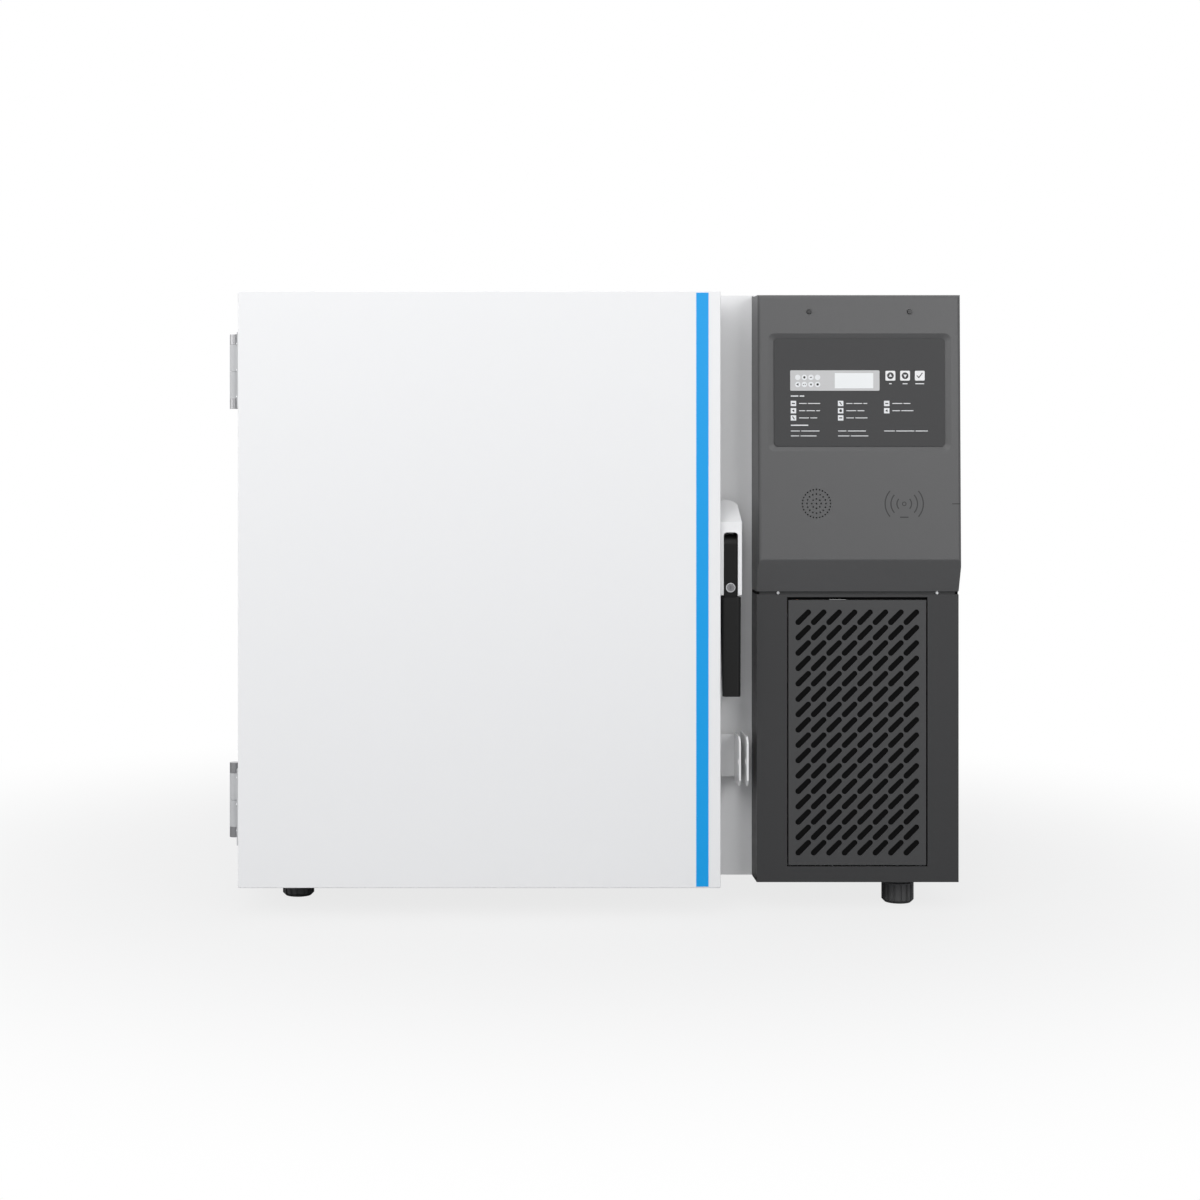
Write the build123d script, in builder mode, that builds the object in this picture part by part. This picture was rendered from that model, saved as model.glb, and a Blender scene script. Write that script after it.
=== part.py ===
from build123d import *
import os
from math import atan, cos, radians, sin, sqrt

# Under-counter ultra low temperature freezer. Millimetres, +Z up, the door faces -Y.
# The origin is on the floor, under the middle of the whole outline.

# Body
foot_height = 38
body_height = 782
cabinet_width = 685
cabinet_depth = 610
machine_width = 268
rear_spacer_depth = 20
spacer_radius = 20
spacer_inset = 60
spacer_taper = 8
sheet = 1.2
base_height = 20
base_sheet = 2.5

# Insulated chamber
left_insulation = 110
right_insulation = 135
top_insulation = 122
bottom_insulation = 122
back_insulation = 125
liner_sheet = 1
breaker_width = 40
breaker_wall = 3
throat_depth = 30
port_radius = 12.5
port_wall = 1.5
port_side_inset = 60
port_top_inset = 85
shelf_sheet = 1.5
shelf_lip = 15
shelf_count = 2
shelf_side_gap = 3
shelf_front_gap = 40
shelf_back_gap = 12
shelf_slot = (70, 12)
shelf_slot_pitch = (100, 60)
ledge_reach = 14
ledge_sheet = 2
evaporator_turns = 6
evaporator_height = 10
evaporator_thickness = 6
evaporator_inset = 40
evaporator_front_inset = 60
evaporator_line_inset = 330

# Door
door_width = 632.5
door_thickness = 90
gasket_gap = 12
gasket_clearance = 0.3
gasket_inset = 14
gasket_width = 24
door_edge_radius = 2
door_liner_wall = 2
plug_gap = 6
plug_depth = 25
plug_edge_radius = 8
stripe_width = 16
stripe_inset = 16
stripe_thickness = 0.5

# Hinges
hinge_axis_out = 12
hinge_axis_set = 8
hinge_barrel_radius = 7
hinge_pin_radius = 4
hinge_knuckle_height = 36
hinge_cap_height = 14
hinge_leaf_sheet = 3
hinge_leaf_length = 60
hinge_end_offset = 53
running_clearance = 0.05
face_clearance = 0.3

# Handle, lever, latch and lock
handle_width = 29
handle_height = 261
handle_foot_drop = 204
handle_front = 80
handle_tray_front = 50
handle_back_gap = 9
handle_step_drop = 67
handle_slope_drop = 28
handle_slope_rise = 5
handle_wall = 3
handle_dome_rise = 6
slot_width = 19
slot_top_rise = 15.6
lever_width = 18
lever_depth = 22
lever_top_radius = 13
lever_pin_radius = 3.5
lever_pin_height = 488
pin_end_cover = 1
grip_top_width = 25.4
grip_bottom_width = 23
grip_top_back = 58
grip_bottom_back = 78
grip_proud = 4
grip_bottom_gap = 5
grip_set_back = 2
grip_edge_radius = 5
arm_root = 15
hook_thickness = 5
hook_nose = 5
hook_depth = 9
hook_tip = 4
hook_root = 10
keeper_radius = 4
keeper_out = 16
keeper_drop = 18
keeper_plate_height = 44
keeper_cheek_height = 18
keeper_cheek_gap = 1.5
keeper_cheek_rim = 2
hook_bar_gap = 0.5
hook_arc_gap = 1
hook_foot_drop = 12
keeper_sheet = 3
keeper_base = 2.5
lock_radius = 5
lock_ring_radius = 6.2
lock_drop = 57.2
lock_ring_proud = 1.5
lock_cam_length = 10
lock_cam_width = 8
lock_cam_sheet = 2
key_slot_height = 5
key_slot_width = 1.2
key_slot_depth = 3
lever_clearance = 2.4
slot_corner_radius = 5
slot_rim = 1.7
slot_rim_proud = 0.8

# Padlock hasp
hasp_sheet = 2.5
hasp_height = 65
hasp_drop = 288.5
hasp_door_ear = 28.5
hasp_cabinet_ear = 38.5
hasp_door_reach = 65
hasp_cabinet_reach = 67
hasp_hole_radius = 4.5
hasp_hole_reach = 57
hasp_chamfer = 8
hasp_top_inset = 2
hasp_bottom_inset = 6
hasp_foot_inset = 12
hasp_return = 50
hasp_wall_gap = 2

# Front of the machine compartment
frame_proud = 51
frame_sheet = 1.5
frame_height = 382
hood_top_proud = 62
hood_lip_proud = 70
hood_lip_height = 466.7
hood_gap = 4
hood_drop = 3
hood_wall = 4
hood_edge_radius = 5
neck_inset = 4

# Grille panel
grille_width = 182.6
grille_height = 351.6
grille_left = 42.2
grille_bottom = 22.8
grille_gap = 2
grille_top_gap = 4
grille_depth = 12
slot_columns = 8
slot_rows = 16
slot_pitch_x = 20.5
slot_pitch_z = 20.4
grille_slot_width = 7
grille_slot_centres = 19.2
grille_pivot_set = 4
grille_pivot_radius = 1.5
filter_thickness = 8

# Control panel
recess_width = 242
recess_height = 156
recess_radius = 8.6
recess_depth = 2.4
recess_drop = 51
membrane_width = 225.6
membrane_height = 142.6
membrane_thickness = 1.2
window_width = 118
window_height = 27
window_thickness = 0.6
window_offset = -32.5
window_drop = 113.4
key_size = 13
key_clearance = 0.25
key_proud = 0.3
key_body = 2.2
key_travel = 0.42
key_radius = 1.5
key_pitch = 19.4
key_offset = 41
key_drop = 107
speaker_drop = 276
speaker_offset = 57.5
speaker_rings = ((8, 6.2), (16, 12.6), (28, 18.6))
speaker_hole_radius = 1.2
speaker_radius = 24
speaker_depth = 12
speaker_rim = 3
speaker_magnet_radius = 14
reader_size = 56
board_thickness = 1.6
board_width = 210
board_height = 120
board_post_radius = 3
board_post_height = 6
usb_width = 14
usb_height = 6.6
usb_depth = 18
usb_wall = 0.8
usb_set = 42
screw_offset = 66.5
screw_drop = 22.3
screw_head_radius = 3.5
screw_head_height = 2
screw_shank_radius = 1.6
bright_screw_offset = 105.5
bright_screw_radius = 1.9

# Feet
foot_pad_radius = 21.5
foot_pad_height = 27
foot_neck_radius = 15.5
foot_stem_radius = 6
foot_side_inset = 69
foot_front_inset = 56
machine_foot_inset = 62
foot_ribs = 16
foot_rib_depth = 1.5
foot_rib_gap = 3
foot_edge = 4
nut_height = 16
nut_size = 12

# Cooling system
fan_radius = 80
fan_clearance = 4
fan_hub_radius = 22
fan_blades = 5
fan_blade_width = 40
fan_blade_pitch = 28
shroud_depth = 26
motor_radius = 32
motor_length = 34
motor_arm = 12
shaft_radius = 4
condenser_width = 190
condenser_height = 330
condenser_depth = 40
condenser_gaps = 15
condenser_fin = 3
condenser_gap_depth = 16
condenser_setback = 24
end_plate = 2
bend_reach = 12
bend_count = 5
compressor_radius = 74
compressor_height = 178
compressor_plate = 3
compressor_boss = 8
terminal_width = 48
terminal_out = 14
terminal_overlap = 8
terminal_level = 50
terminal_height = 42
seam_proud = 5
mount_height = 14
mount_radius = 11
mount_offset = 62
first_compressor_set = 200
second_compressor_set = 385
exchanger_radius = 50
exchanger_height = 330
exchanger_set = 535
pipe_radius = 4
drier_radius = 13
drier_length = 110
drier_set = 292
drier_level = 190
pipe_bend = 16
header_inset = 20
gas_rise = 40
liquid_rise = 80
strip_line_inset = 26
strip_line_height = 270
drier_wall_gap = 4
line_spread = 24

# Component shelf and rear services
louvre_pitch = 16
louvre_height = 5
louvre_side_inset = 150
louvre_side_height = 160
louvre_side_width = 180
louvre_rear_height = 330
louvre_rear_margin = 35
tray_height = 600
tray_sheet = 2
tray_flange = 20
tray_setback = 40
tray_depth = 260
battery_side_gap = 30
battery_setback = 60
battery_terminal = 8
battery_terminal_height = 6
battery_terminal_inset = 15
battery_size = (65, 151, 94)
inlet_width = 50
inlet_height = 28
inlet_depth = 26
inlet_level = 120
inlet_offset = 40
rocker_offset = 30
rocker_width = 22
rocker_height = 28
rocker_depth = 18

# Levels and faces that the sizes give
total_width = hinge_barrel_radius + hinge_axis_out + cabinet_width + machine_width
total_depth = grip_proud + door_thickness + cabinet_depth + rear_spacer_depth
x_left = -total_width / 2 + hinge_barrel_radius + hinge_axis_out
x_cab = x_left + cabinet_width
x_right = x_cab + machine_width
x_machine = (x_cab + x_right) / 2
y_face = -total_depth / 2 + grip_proud + door_thickness
y_back = y_face + cabinet_depth
z_low = foot_height
z_base = z_low + base_height
z_top = z_low + body_height
x_in = (x_left + left_insulation, x_cab - right_insulation)
z_in = (z_low + bottom_insulation, z_top - top_insulation)
y_in = (y_face + throat_depth, y_back - back_insulation)
x_door = x_left + door_width
y_door = y_face - door_thickness
y_door_back = y_face - gasket_gap
y_frame = y_face - frame_proud
z_frame = z_low + frame_height
z_hood = z_frame + hood_gap
z_hood_top = z_top - hood_drop
x_cover = x_right - sheet
y_cover = y_back - sheet

os.makedirs("parts", exist_ok=True)


def save(builder, name):
    """Labels a finished piece and writes its STEP file."""
    builder.part.label = name
    export_step(builder.part, f"parts/{name}.step")


def block(x, y, z, mode=Mode.ADD):
    """A block between two x, two y and two z values."""
    with Locations(((x[0] + x[1]) / 2, (y[0] + y[1]) / 2, (z[0] + z[1]) / 2)):
        Box(x[1] - x[0], y[1] - y[0], z[1] - z[0], mode=mode)


def wider(span, amount):
    """The same span with both ends moved out."""
    return (span[0] - amount, span[1] + amount)


def front_plane(y):
    """A sketch plane that faces the front, its x to the right and its y up."""
    return Plane.XZ.offset(-y)


def side_plane(x):
    """A sketch plane that faces the right, its x to the back and its y up."""
    return Plane.YZ.offset(x)


def rod(plane, at, radius, length, mode=Mode.ADD):
    """A round bar that starts on a plane and runs along its normal."""
    with BuildSketch(plane) as section:
        with Locations(at):
            Circle(radius)
    extrude(section.sketch, amount=length, mode=mode)


# Cabinet

port_at = (x_in[0] + port_side_inset, z_in[1] - port_top_inset)
evaporator_zone = wider(z_in, -evaporator_inset)
line_y = y_in[0] + evaporator_line_inset
line_levels = [
    evaporator_zone[0] + evaporator_height / 2,
    evaporator_zone[1] - evaporator_height / 2,
]
line_places = [(line_y, level) for level in line_levels]
liner_x = wider(x_in, liner_sheet)
liner_z = wider(z_in, liner_sheet)
liner_y = (y_in[0], y_in[1] + liner_sheet)
coil_front = y_in[0] + evaporator_front_inset

# One folded sheet wrapper with the front flange that the door seals on, open underneath.
with BuildPart() as outer_shell:
    block((x_left, x_cab), (y_face, y_back), (z_low, z_top))
    block(
        (x_left + sheet, x_cab - sheet),
        (y_face + sheet, y_back - sheet),
        (z_low, z_top - sheet),
        Mode.SUBTRACT,
    )
    block(
        wider(x_in, breaker_width),
        (y_face, y_face + sheet),
        wider(z_in, breaker_width),
        Mode.SUBTRACT,
    )
    # the wall beside the machine compartment stands on the base pan
    block(
        (x_cab - sheet, x_cab),
        (y_face + sheet, y_back - sheet),
        (z_low, z_base),
        Mode.SUBTRACT,
    )
    rod(front_plane(y_back), [port_at], port_radius + port_wall, sheet, Mode.SUBTRACT)
    rod(side_plane(x_cab - sheet), line_places, pipe_radius, sheet, Mode.SUBTRACT)

# Rigid foam between shell and liner, with a chase for the evaporator tube.
with BuildPart() as cabinet_foam:
    block(
        (x_left + sheet, x_cab - sheet),
        (y_face + sheet, y_back - sheet),
        (z_base, z_top - sheet),
    )
    block(liner_x, (y_face, liner_y[1]), liner_z, Mode.SUBTRACT)
    block(
        wider(x_in, breaker_width),
        (y_face, y_face + breaker_wall),
        wider(z_in, breaker_width),
        Mode.SUBTRACT,
    )
    block(
        wider(x_in, breaker_wall),
        (y_face, y_in[0]),
        wider(z_in, breaker_wall),
        Mode.SUBTRACT,
    )
    block(
        wider(liner_x, evaporator_thickness),
        (coil_front, liner_y[1] + evaporator_thickness),
        evaporator_zone,
        Mode.SUBTRACT,
    )
    rod(
        front_plane(y_back),
        [port_at],
        port_radius + port_wall,
        back_insulation + sheet,
        Mode.SUBTRACT,
    )
    rod(side_plane(liner_x[1]), line_places, pipe_radius, right_insulation, Mode.SUBTRACT)

chamber_height = z_in[1] - z_in[0]
shelf_levels = [
    z_in[0] + chamber_height * (n + 1) / (shelf_count + 1) for n in range(shelf_count)
]
shelf_x = wider(x_in, -shelf_side_gap)
shelf_y = (y_in[0] + shelf_front_gap, y_in[1] - shelf_back_gap)

# Stainless box that the samples stand in, open at the front, with a ledge for every shelf.
with BuildPart() as inner_liner:
    block(liner_x, liner_y, liner_z)
    block(x_in, y_in, z_in, Mode.SUBTRACT)
    rod(
        front_plane(liner_y[1]),
        [port_at],
        port_radius + port_wall,
        liner_sheet,
        Mode.SUBTRACT,
    )
    ledge_y = wider(shelf_y, -shelf_lip)
    for level in shelf_levels:
        ledge_top = level - shelf_sheet
        for wall, toward in ((x_in[0], 1), (x_in[1], -1)):
            tab = sorted((wall, wall + toward * ledge_reach))
            flange = sorted((wall, wall + toward * ledge_sheet))
            block(tab, ledge_y, (ledge_top - ledge_sheet, ledge_top))
            block(flange, ledge_y, (ledge_top - ledge_reach, ledge_top))

# Plastic frame that bridges the cold liner and the warm shell round the throat.
with BuildPart() as breaker_frame:
    block(
        wider(x_in, breaker_width),
        (y_face, y_face + breaker_wall),
        wider(z_in, breaker_width),
    )
    block(wider(x_in, breaker_wall), (y_face, y_in[0]), wider(z_in, breaker_wall))
    block(x_in, (y_face, y_in[0]), z_in, Mode.SUBTRACT)

# Stainless shelves, slotted for the cold air, with a folded lip at the front and back.
with BuildPart() as shelves:
    for level in shelf_levels:
        block(shelf_x, shelf_y, (level - shelf_sheet, level))
        block(shelf_x, (shelf_y[0], shelf_y[0] + shelf_sheet), (level - shelf_lip, level))
        block(shelf_x, (shelf_y[1] - shelf_sheet, shelf_y[1]), (level - shelf_lip, level))
        with BuildSketch(Plane.XY.offset(level)):
            with Locations((sum(shelf_x) / 2, sum(shelf_y) / 2)):
                with GridLocations(*shelf_slot_pitch, 4, 6):
                    Rectangle(*shelf_slot)
        extrude(amount=-shelf_sheet, mode=Mode.SUBTRACT)

# Tube through the back wall for a probe lead, with a rubber stopper in it.
port_length = y_back - y_in[1]
port_flange = 8
with BuildPart() as access_port:
    rod(front_plane(y_back), [port_at], port_radius + port_wall, port_length)
    rod(front_plane(y_back), [port_at], port_radius + port_flange, -port_wall * 2)
    rod(
        front_plane(y_back + port_wall * 2),
        [port_at],
        port_radius,
        port_length + port_wall * 2,
        Mode.SUBTRACT,
    )

stopper_length = 40
with BuildPart() as port_stopper:
    rod(front_plane(y_back + port_wall * 2), [port_at], port_radius, stopper_length)
    rod(front_plane(y_back + port_wall * 2), [port_at], port_radius + 3, -6)

# Base pan, rails and feet

feet = {
    "foot_front_left": (x_left + foot_side_inset, y_face + foot_front_inset),
    "foot_front_right": (x_right - foot_side_inset, y_frame + machine_foot_inset),
    "foot_rear_left": (x_left + foot_side_inset, y_back - foot_front_inset),
    "foot_rear_right": (x_right - foot_side_inset, y_back - foot_front_inset),
}


def base_outline():
    """Plan of the pan: the cabinet and, further forward, the machine compartment."""
    spans = (
        ((x_left + sheet, x_cover), (y_face + sheet, y_cover)),
        ((x_cab + frame_sheet, x_right - frame_sheet), (y_frame + frame_sheet, y_cover)),
    )
    for x, y in spans:
        with Locations(((x[0] + x[1]) / 2, (y[0] + y[1]) / 2)):
            Rectangle(x[1] - x[0], y[1] - y[0])


stem_hole = foot_stem_radius + running_clearance

# Folded pan under the whole machine, with a nut welded inside for every foot.
with BuildPart() as base_pan:
    with BuildSketch(Plane.XY.offset(z_low)):
        base_outline()
    extrude(amount=base_height)
    with BuildSketch(Plane.XY.offset(z_low)):
        base_outline()
        offset(amount=-base_sheet, kind=Kind.INTERSECTION)
    extrude(amount=base_height - base_sheet, mode=Mode.SUBTRACT)
    with BuildSketch(Plane.XY.offset(z_base - base_sheet)):
        with Locations(*feet.values()):
            RegularPolygon(nut_size, 6)
    extrude(amount=-nut_height)
    rod(Plane.XY.offset(z_low), list(feet.values()), stem_hole, base_height, Mode.SUBTRACT)

foot_neck_top = z_base - base_sheet - nut_height - face_clearance


def foot(place):
    """Ribbed pad, neck and threaded stem; the neck stops under the nut."""
    upright = Plane(origin=(place[0], place[1], 0), x_dir=(1, 0, 0), z_dir=(0, -1, 0))
    with BuildPart() as piece:
        with BuildSketch(upright):
            with BuildLine():
                Polyline(
                    (0, 0),
                    (foot_pad_radius - foot_edge, 0),
                    (foot_pad_radius, foot_edge),
                    (foot_pad_radius, foot_pad_height),
                    (foot_neck_radius, foot_pad_height),
                    (foot_neck_radius, foot_neck_top),
                    (foot_stem_radius, foot_neck_top),
                    (foot_stem_radius, z_base - face_clearance),
                    (0, z_base - face_clearance),
                    close=True,
                )
            make_face()
        revolve(axis=Axis((place[0], place[1], 0), (0, 0, 1)))
        with BuildSketch(Plane.XY.offset(foot_edge)):
            with Locations(place):
                with PolarLocations(foot_pad_radius, foot_ribs):
                    Rectangle(foot_rib_depth * 2, foot_rib_gap)
        extrude(
            amount=foot_pad_height - foot_edge - foot_rib_depth,
            mode=Mode.SUBTRACT,
        )
    return piece


for name, place in feet.items():
    save(foot(place), name)

# Bumpers that keep the back off a wall.
with BuildPart() as rear_spacers:
    with BuildSketch(front_plane(y_back)):
        with Locations(((x_left + x_cab) / 2, (z_low + z_top) / 2)):
            with GridLocations(
                cabinet_width - 2 * spacer_inset, body_height - 2 * spacer_inset, 2, 2
            ):
                Circle(spacer_radius)
    extrude(amount=-rear_spacer_depth, taper=spacer_taper)

# Hinges

hinge_at = (x_left - hinge_axis_out, y_face - hinge_axis_set)
hinge_height = 2 * hinge_knuckle_height + 2 * hinge_cap_height
hinge_feet = (z_low + hinge_end_offset, z_top - hinge_end_offset - hinge_height)


def hinge_leaf(low, front):
    """One leaf and its knuckle: the door's leaf is in front and its knuckle on top."""
    knuckle = low + hinge_cap_height
    if front:
        knuckle += hinge_knuckle_height + face_clearance
    height = hinge_knuckle_height - face_clearance
    toward = -1 if front else 1
    strap = sorted(
        (
            hinge_at[1] + toward * (hinge_barrel_radius - hinge_leaf_sheet),
            hinge_at[1] + toward * hinge_barrel_radius,
        )
    )
    reach = sorted(
        (
            hinge_at[1] + toward * (hinge_barrel_radius - hinge_leaf_sheet),
            hinge_at[1] + toward * (hinge_barrel_radius + hinge_leaf_length),
        )
    )
    rod(Plane.XY.offset(knuckle), [hinge_at], hinge_barrel_radius, height)
    block((hinge_at[0], x_left), strap, (knuckle, knuckle + height))
    block((x_left - hinge_leaf_sheet, x_left), reach, (low, low + hinge_height))
    bore = hinge_pin_radius + (running_clearance if front else 0)
    rod(Plane.XY.offset(knuckle), [hinge_at], bore, height, Mode.SUBTRACT)


with BuildPart() as hinge_cabinet_leaves:
    for low in hinge_feet:
        hinge_leaf(low, front=False)

with BuildPart() as hinge_door_leaves:
    for low in hinge_feet:
        hinge_leaf(low, front=True)

# Each pin is held by the cabinet's knuckle and carries a cap at both ends.
with BuildPart() as hinge_pins:
    for low in hinge_feet:
        rod(Plane.XY.offset(low), [hinge_at], hinge_pin_radius, hinge_height)
        rod(Plane.XY.offset(low), [hinge_at], hinge_barrel_radius, hinge_cap_height)
        rod(
            Plane.XY.offset(low + hinge_height),
            [hinge_at],
            hinge_barrel_radius,
            face_clearance - hinge_cap_height,
        )

# Door

plug_x = wider(x_in, -plug_gap)
plug_z = wider(z_in, -plug_gap)
plug_end = y_face + plug_depth
liner_seat = y_door_back - sheet - door_liner_wall

# Painted steel pan: front, four sides and a flange turned in round the plug.
with BuildPart() as door_skin:
    block((x_left, x_door), (y_door, y_door_back), (z_low, z_top))
    fillet(door_skin.edges().filter_by(Axis.Y), door_edge_radius)
    fillet(door_skin.faces().sort_by(Axis.Y)[0].edges(), door_edge_radius / 2)
    block(
        (x_left + sheet, x_door - sheet),
        (y_door + sheet, y_door_back - sheet),
        (z_low + sheet, z_top - sheet),
        Mode.SUBTRACT,
    )
    block(plug_x, (y_door_back - sheet, y_door_back), plug_z, Mode.SUBTRACT)


def plug_form(inset, start, end, mode=Mode.ADD):
    """The plug that enters the throat, with its walls moved in by an inset."""
    with BuildSketch(front_plane(start)) as outline:
        with Locations((sum(plug_x) / 2, sum(plug_z) / 2)):
            Rectangle(
                plug_x[1] - plug_x[0] - 2 * inset,
                plug_z[1] - plug_z[0] - 2 * inset,
            )
    extrude(outline.sketch, amount=start - end, mode=mode)


# Rigid foam that fills the pan and the plug.
with BuildPart() as door_foam:
    plug_form(door_liner_wall, liner_seat, plug_end - door_liner_wall)
    fillet(
        door_foam.faces().sort_by(Axis.Y)[-1].edges(),
        plug_edge_radius - door_liner_wall,
    )
    block(
        (x_left + sheet, x_door - sheet),
        (y_door + sheet, liner_seat),
        (z_low + sheet, z_top - sheet),
    )

# Formed plastic panel with the plug, behind the flange of the skin.
with BuildPart() as door_liner:
    plug_form(0, liner_seat, plug_end)
    fillet(door_liner.faces().sort_by(Axis.Y)[-1].edges(), plug_edge_radius)
    block(
        (x_left + sheet, x_door - sheet),
        (liner_seat, y_door_back - sheet),
        (z_low + sheet, z_top - sheet),
    )
    add(door_foam.part, mode=Mode.SUBTRACT)

# Soft seal all round, on the door's flange and just off the cabinet's face.
with BuildPart() as door_gasket:
    door_x = (x_left, x_door)
    door_z = (z_low, z_top)
    block(
        wider(door_x, -gasket_inset),
        (y_door_back, y_face - gasket_clearance),
        wider(door_z, -gasket_inset),
    )
    block(
        wider(door_x, -gasket_inset - gasket_width),
        (y_door_back, y_face),
        wider(door_z, -gasket_inset - gasket_width),
        Mode.SUBTRACT,
    )

stripe_x = (x_door - stripe_inset - stripe_width, x_door - stripe_inset)
with BuildPart() as door_stripe:
    block(
        stripe_x,
        (y_door - stripe_thickness, y_door),
        wider(door_z, -door_edge_radius),
    )

# Handle

handle_x = (x_door, x_door + handle_width)
handle_mid = sum(handle_x) / 2
handle_bottom = lever_pin_height - handle_foot_drop
handle_step = lever_pin_height - handle_step_drop
handle_top = handle_bottom + handle_height
slot_top = lever_pin_height + slot_top_rise
lock_height = lever_pin_height - lock_drop
keeper_height = lever_pin_height - keeper_drop
y_handle = y_face - handle_front
y_handle_back = y_face - handle_back_gap


def handle_form(inset):
    """The housing's solid form, with its walls moved in by an inset."""
    with BuildSketch(side_plane(handle_x[0] + inset)) as profile:
        with BuildLine():
            Polyline(
                (y_handle_back, handle_bottom + inset),
                (y_face - handle_tray_front + inset, handle_bottom + inset),
                (y_face - handle_tray_front + inset, handle_step + inset),
                (y_handle + inset, handle_step + inset),
                (y_handle + inset, handle_top - handle_slope_drop - inset),
                (y_handle_back, handle_top + handle_slope_rise - inset),
                close=True,
            )
        make_face()
    extrude(profile.sketch, amount=handle_width - 2 * inset)
    # the low dome over the top, seen from the front
    left = handle_mid - handle_width / 2 + inset
    right = handle_mid + handle_width / 2 - inset
    shoulder = handle_top - handle_dome_rise
    with BuildSketch(front_plane(y_handle_back)) as outline:
        with BuildLine():
            Line((left, shoulder), (left, handle_bottom))
            Line((left, handle_bottom), (right, handle_bottom))
            Line((right, handle_bottom), (right, shoulder))
            ThreePointArc(
                (right, shoulder), (handle_mid, handle_top - inset), (left, shoulder)
            )
        make_face()
    extrude(outline.sketch, amount=handle_front, mode=Mode.INTERSECT)


slot_x = (handle_mid - slot_width / 2, handle_mid + slot_width / 2)
pin_y = y_handle + handle_wall + lever_top_radius
pin_place = [(pin_y, lever_pin_height)]
pin_start = side_plane(handle_x[0] + pin_end_cover)
pin_length = handle_width - 2 * pin_end_cover

with BuildPart() as handle_hollow:
    handle_form(handle_wall)

# Moulded housing on the door's edge, open at the back, with the lever's slot in front.
with BuildPart() as handle_housing:
    handle_form(0)
    with BuildSketch(front_plane(y_handle)) as rim:
        with Locations((handle_mid, (handle_step + slot_top + slot_rim) / 2)):
            RectangleRounded(
                slot_width + 2 * slot_rim, slot_top + slot_rim - handle_step, slot_corner_radius
            )
        with Locations((handle_mid, handle_step + slot_corner_radius)):
            Rectangle(slot_width + 2 * slot_rim, 2 * slot_corner_radius)
    extrude(amount=slot_rim_proud)
    add(handle_hollow.part, mode=Mode.SUBTRACT)
    with BuildSketch(front_plane(y_handle + handle_wall)) as slot:
        with Locations((handle_mid, (handle_step + slot_top) / 2)):
            RectangleRounded(slot_width, slot_top - handle_step, slot_corner_radius)
        with Locations((handle_mid, handle_step + slot_corner_radius)):
            Rectangle(slot_width, 2 * slot_corner_radius)
    extrude(amount=handle_wall + slot_rim_proud, mode=Mode.SUBTRACT)
    block(
        slot_x,
        (y_handle, y_face - handle_tray_front),
        (handle_step, handle_step + handle_wall),
        Mode.SUBTRACT,
    )
    rod(pin_start, pin_place, lever_pin_radius, pin_length, Mode.SUBTRACT)

with BuildPart() as lever_pin:
    rod(pin_start, pin_place, lever_pin_radius, pin_length)

arm_y = (y_handle + handle_wall, y_handle + handle_wall + lever_depth)
lever_x = (handle_mid - lever_width / 2, handle_mid + lever_width / 2)
lock_place = [(handle_mid, lock_height)]
lock_bore = lock_radius + running_clearance
grip_sections = (
    (
        handle_step - lever_clearance,
        grip_top_width,
        (y_door + grip_set_back, y_face - grip_top_back),
    ),
    (
        handle_bottom + grip_bottom_gap,
        grip_bottom_width,
        (y_door - grip_proud, y_face - grip_bottom_back),
    ),
)

# Black lever: a narrow arm in the slot, a wide grip below that leans out from the door.
with BuildPart() as handle_lever:
    block(lever_x, arm_y, (handle_step - arm_root, lever_pin_height))
    rod(side_plane(lever_x[0]), pin_place, lever_top_radius, lever_width)
    grip_outlines = []
    for level, width, ends in grip_sections:
        with BuildSketch(Plane.XY.offset(level)) as grip_outline:
            with Locations((handle_mid, sum(ends) / 2)):
                RectangleRounded(width, ends[1] - ends[0], grip_edge_radius)
        grip_outlines.append(grip_outline.sketch)
    loft(sections=grip_outlines)
    rod(
        side_plane(lever_x[0]),
        pin_place,
        lever_pin_radius + running_clearance,
        lever_width,
        Mode.SUBTRACT,
    )
    rod(front_plane(arm_y[1]), lock_place, lock_bore, lever_depth, Mode.SUBTRACT)

with BuildPart() as lock_ring:
    rod(front_plane(arm_y[0]), lock_place, lock_ring_radius, lock_ring_proud)
    rod(front_plane(arm_y[0]), lock_place, lock_bore, lock_ring_proud, Mode.SUBTRACT)

# Lock barrel with the slot for its key and a cam on its inner end.
with BuildPart() as lock_cylinder:
    cam_y = (arm_y[1] + face_clearance, arm_y[1] + face_clearance + lock_cam_sheet)
    rod(front_plane(cam_y[0]), lock_place, lock_radius, lever_depth + lock_ring_proud)
    block(
        (handle_mid - lock_cam_width / 2, handle_mid + lock_cam_width / 2),
        cam_y,
        (lock_height - lock_cam_width / 2, lock_height + lock_cam_length),
    )
    block(
        (handle_mid - key_slot_width / 2, handle_mid + key_slot_width / 2),
        (arm_y[0] - lock_ring_proud, arm_y[0] - lock_ring_proud + key_slot_depth),
        (lock_height - key_slot_height / 2, lock_height + key_slot_height / 2),
        Mode.SUBTRACT,
    )

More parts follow.
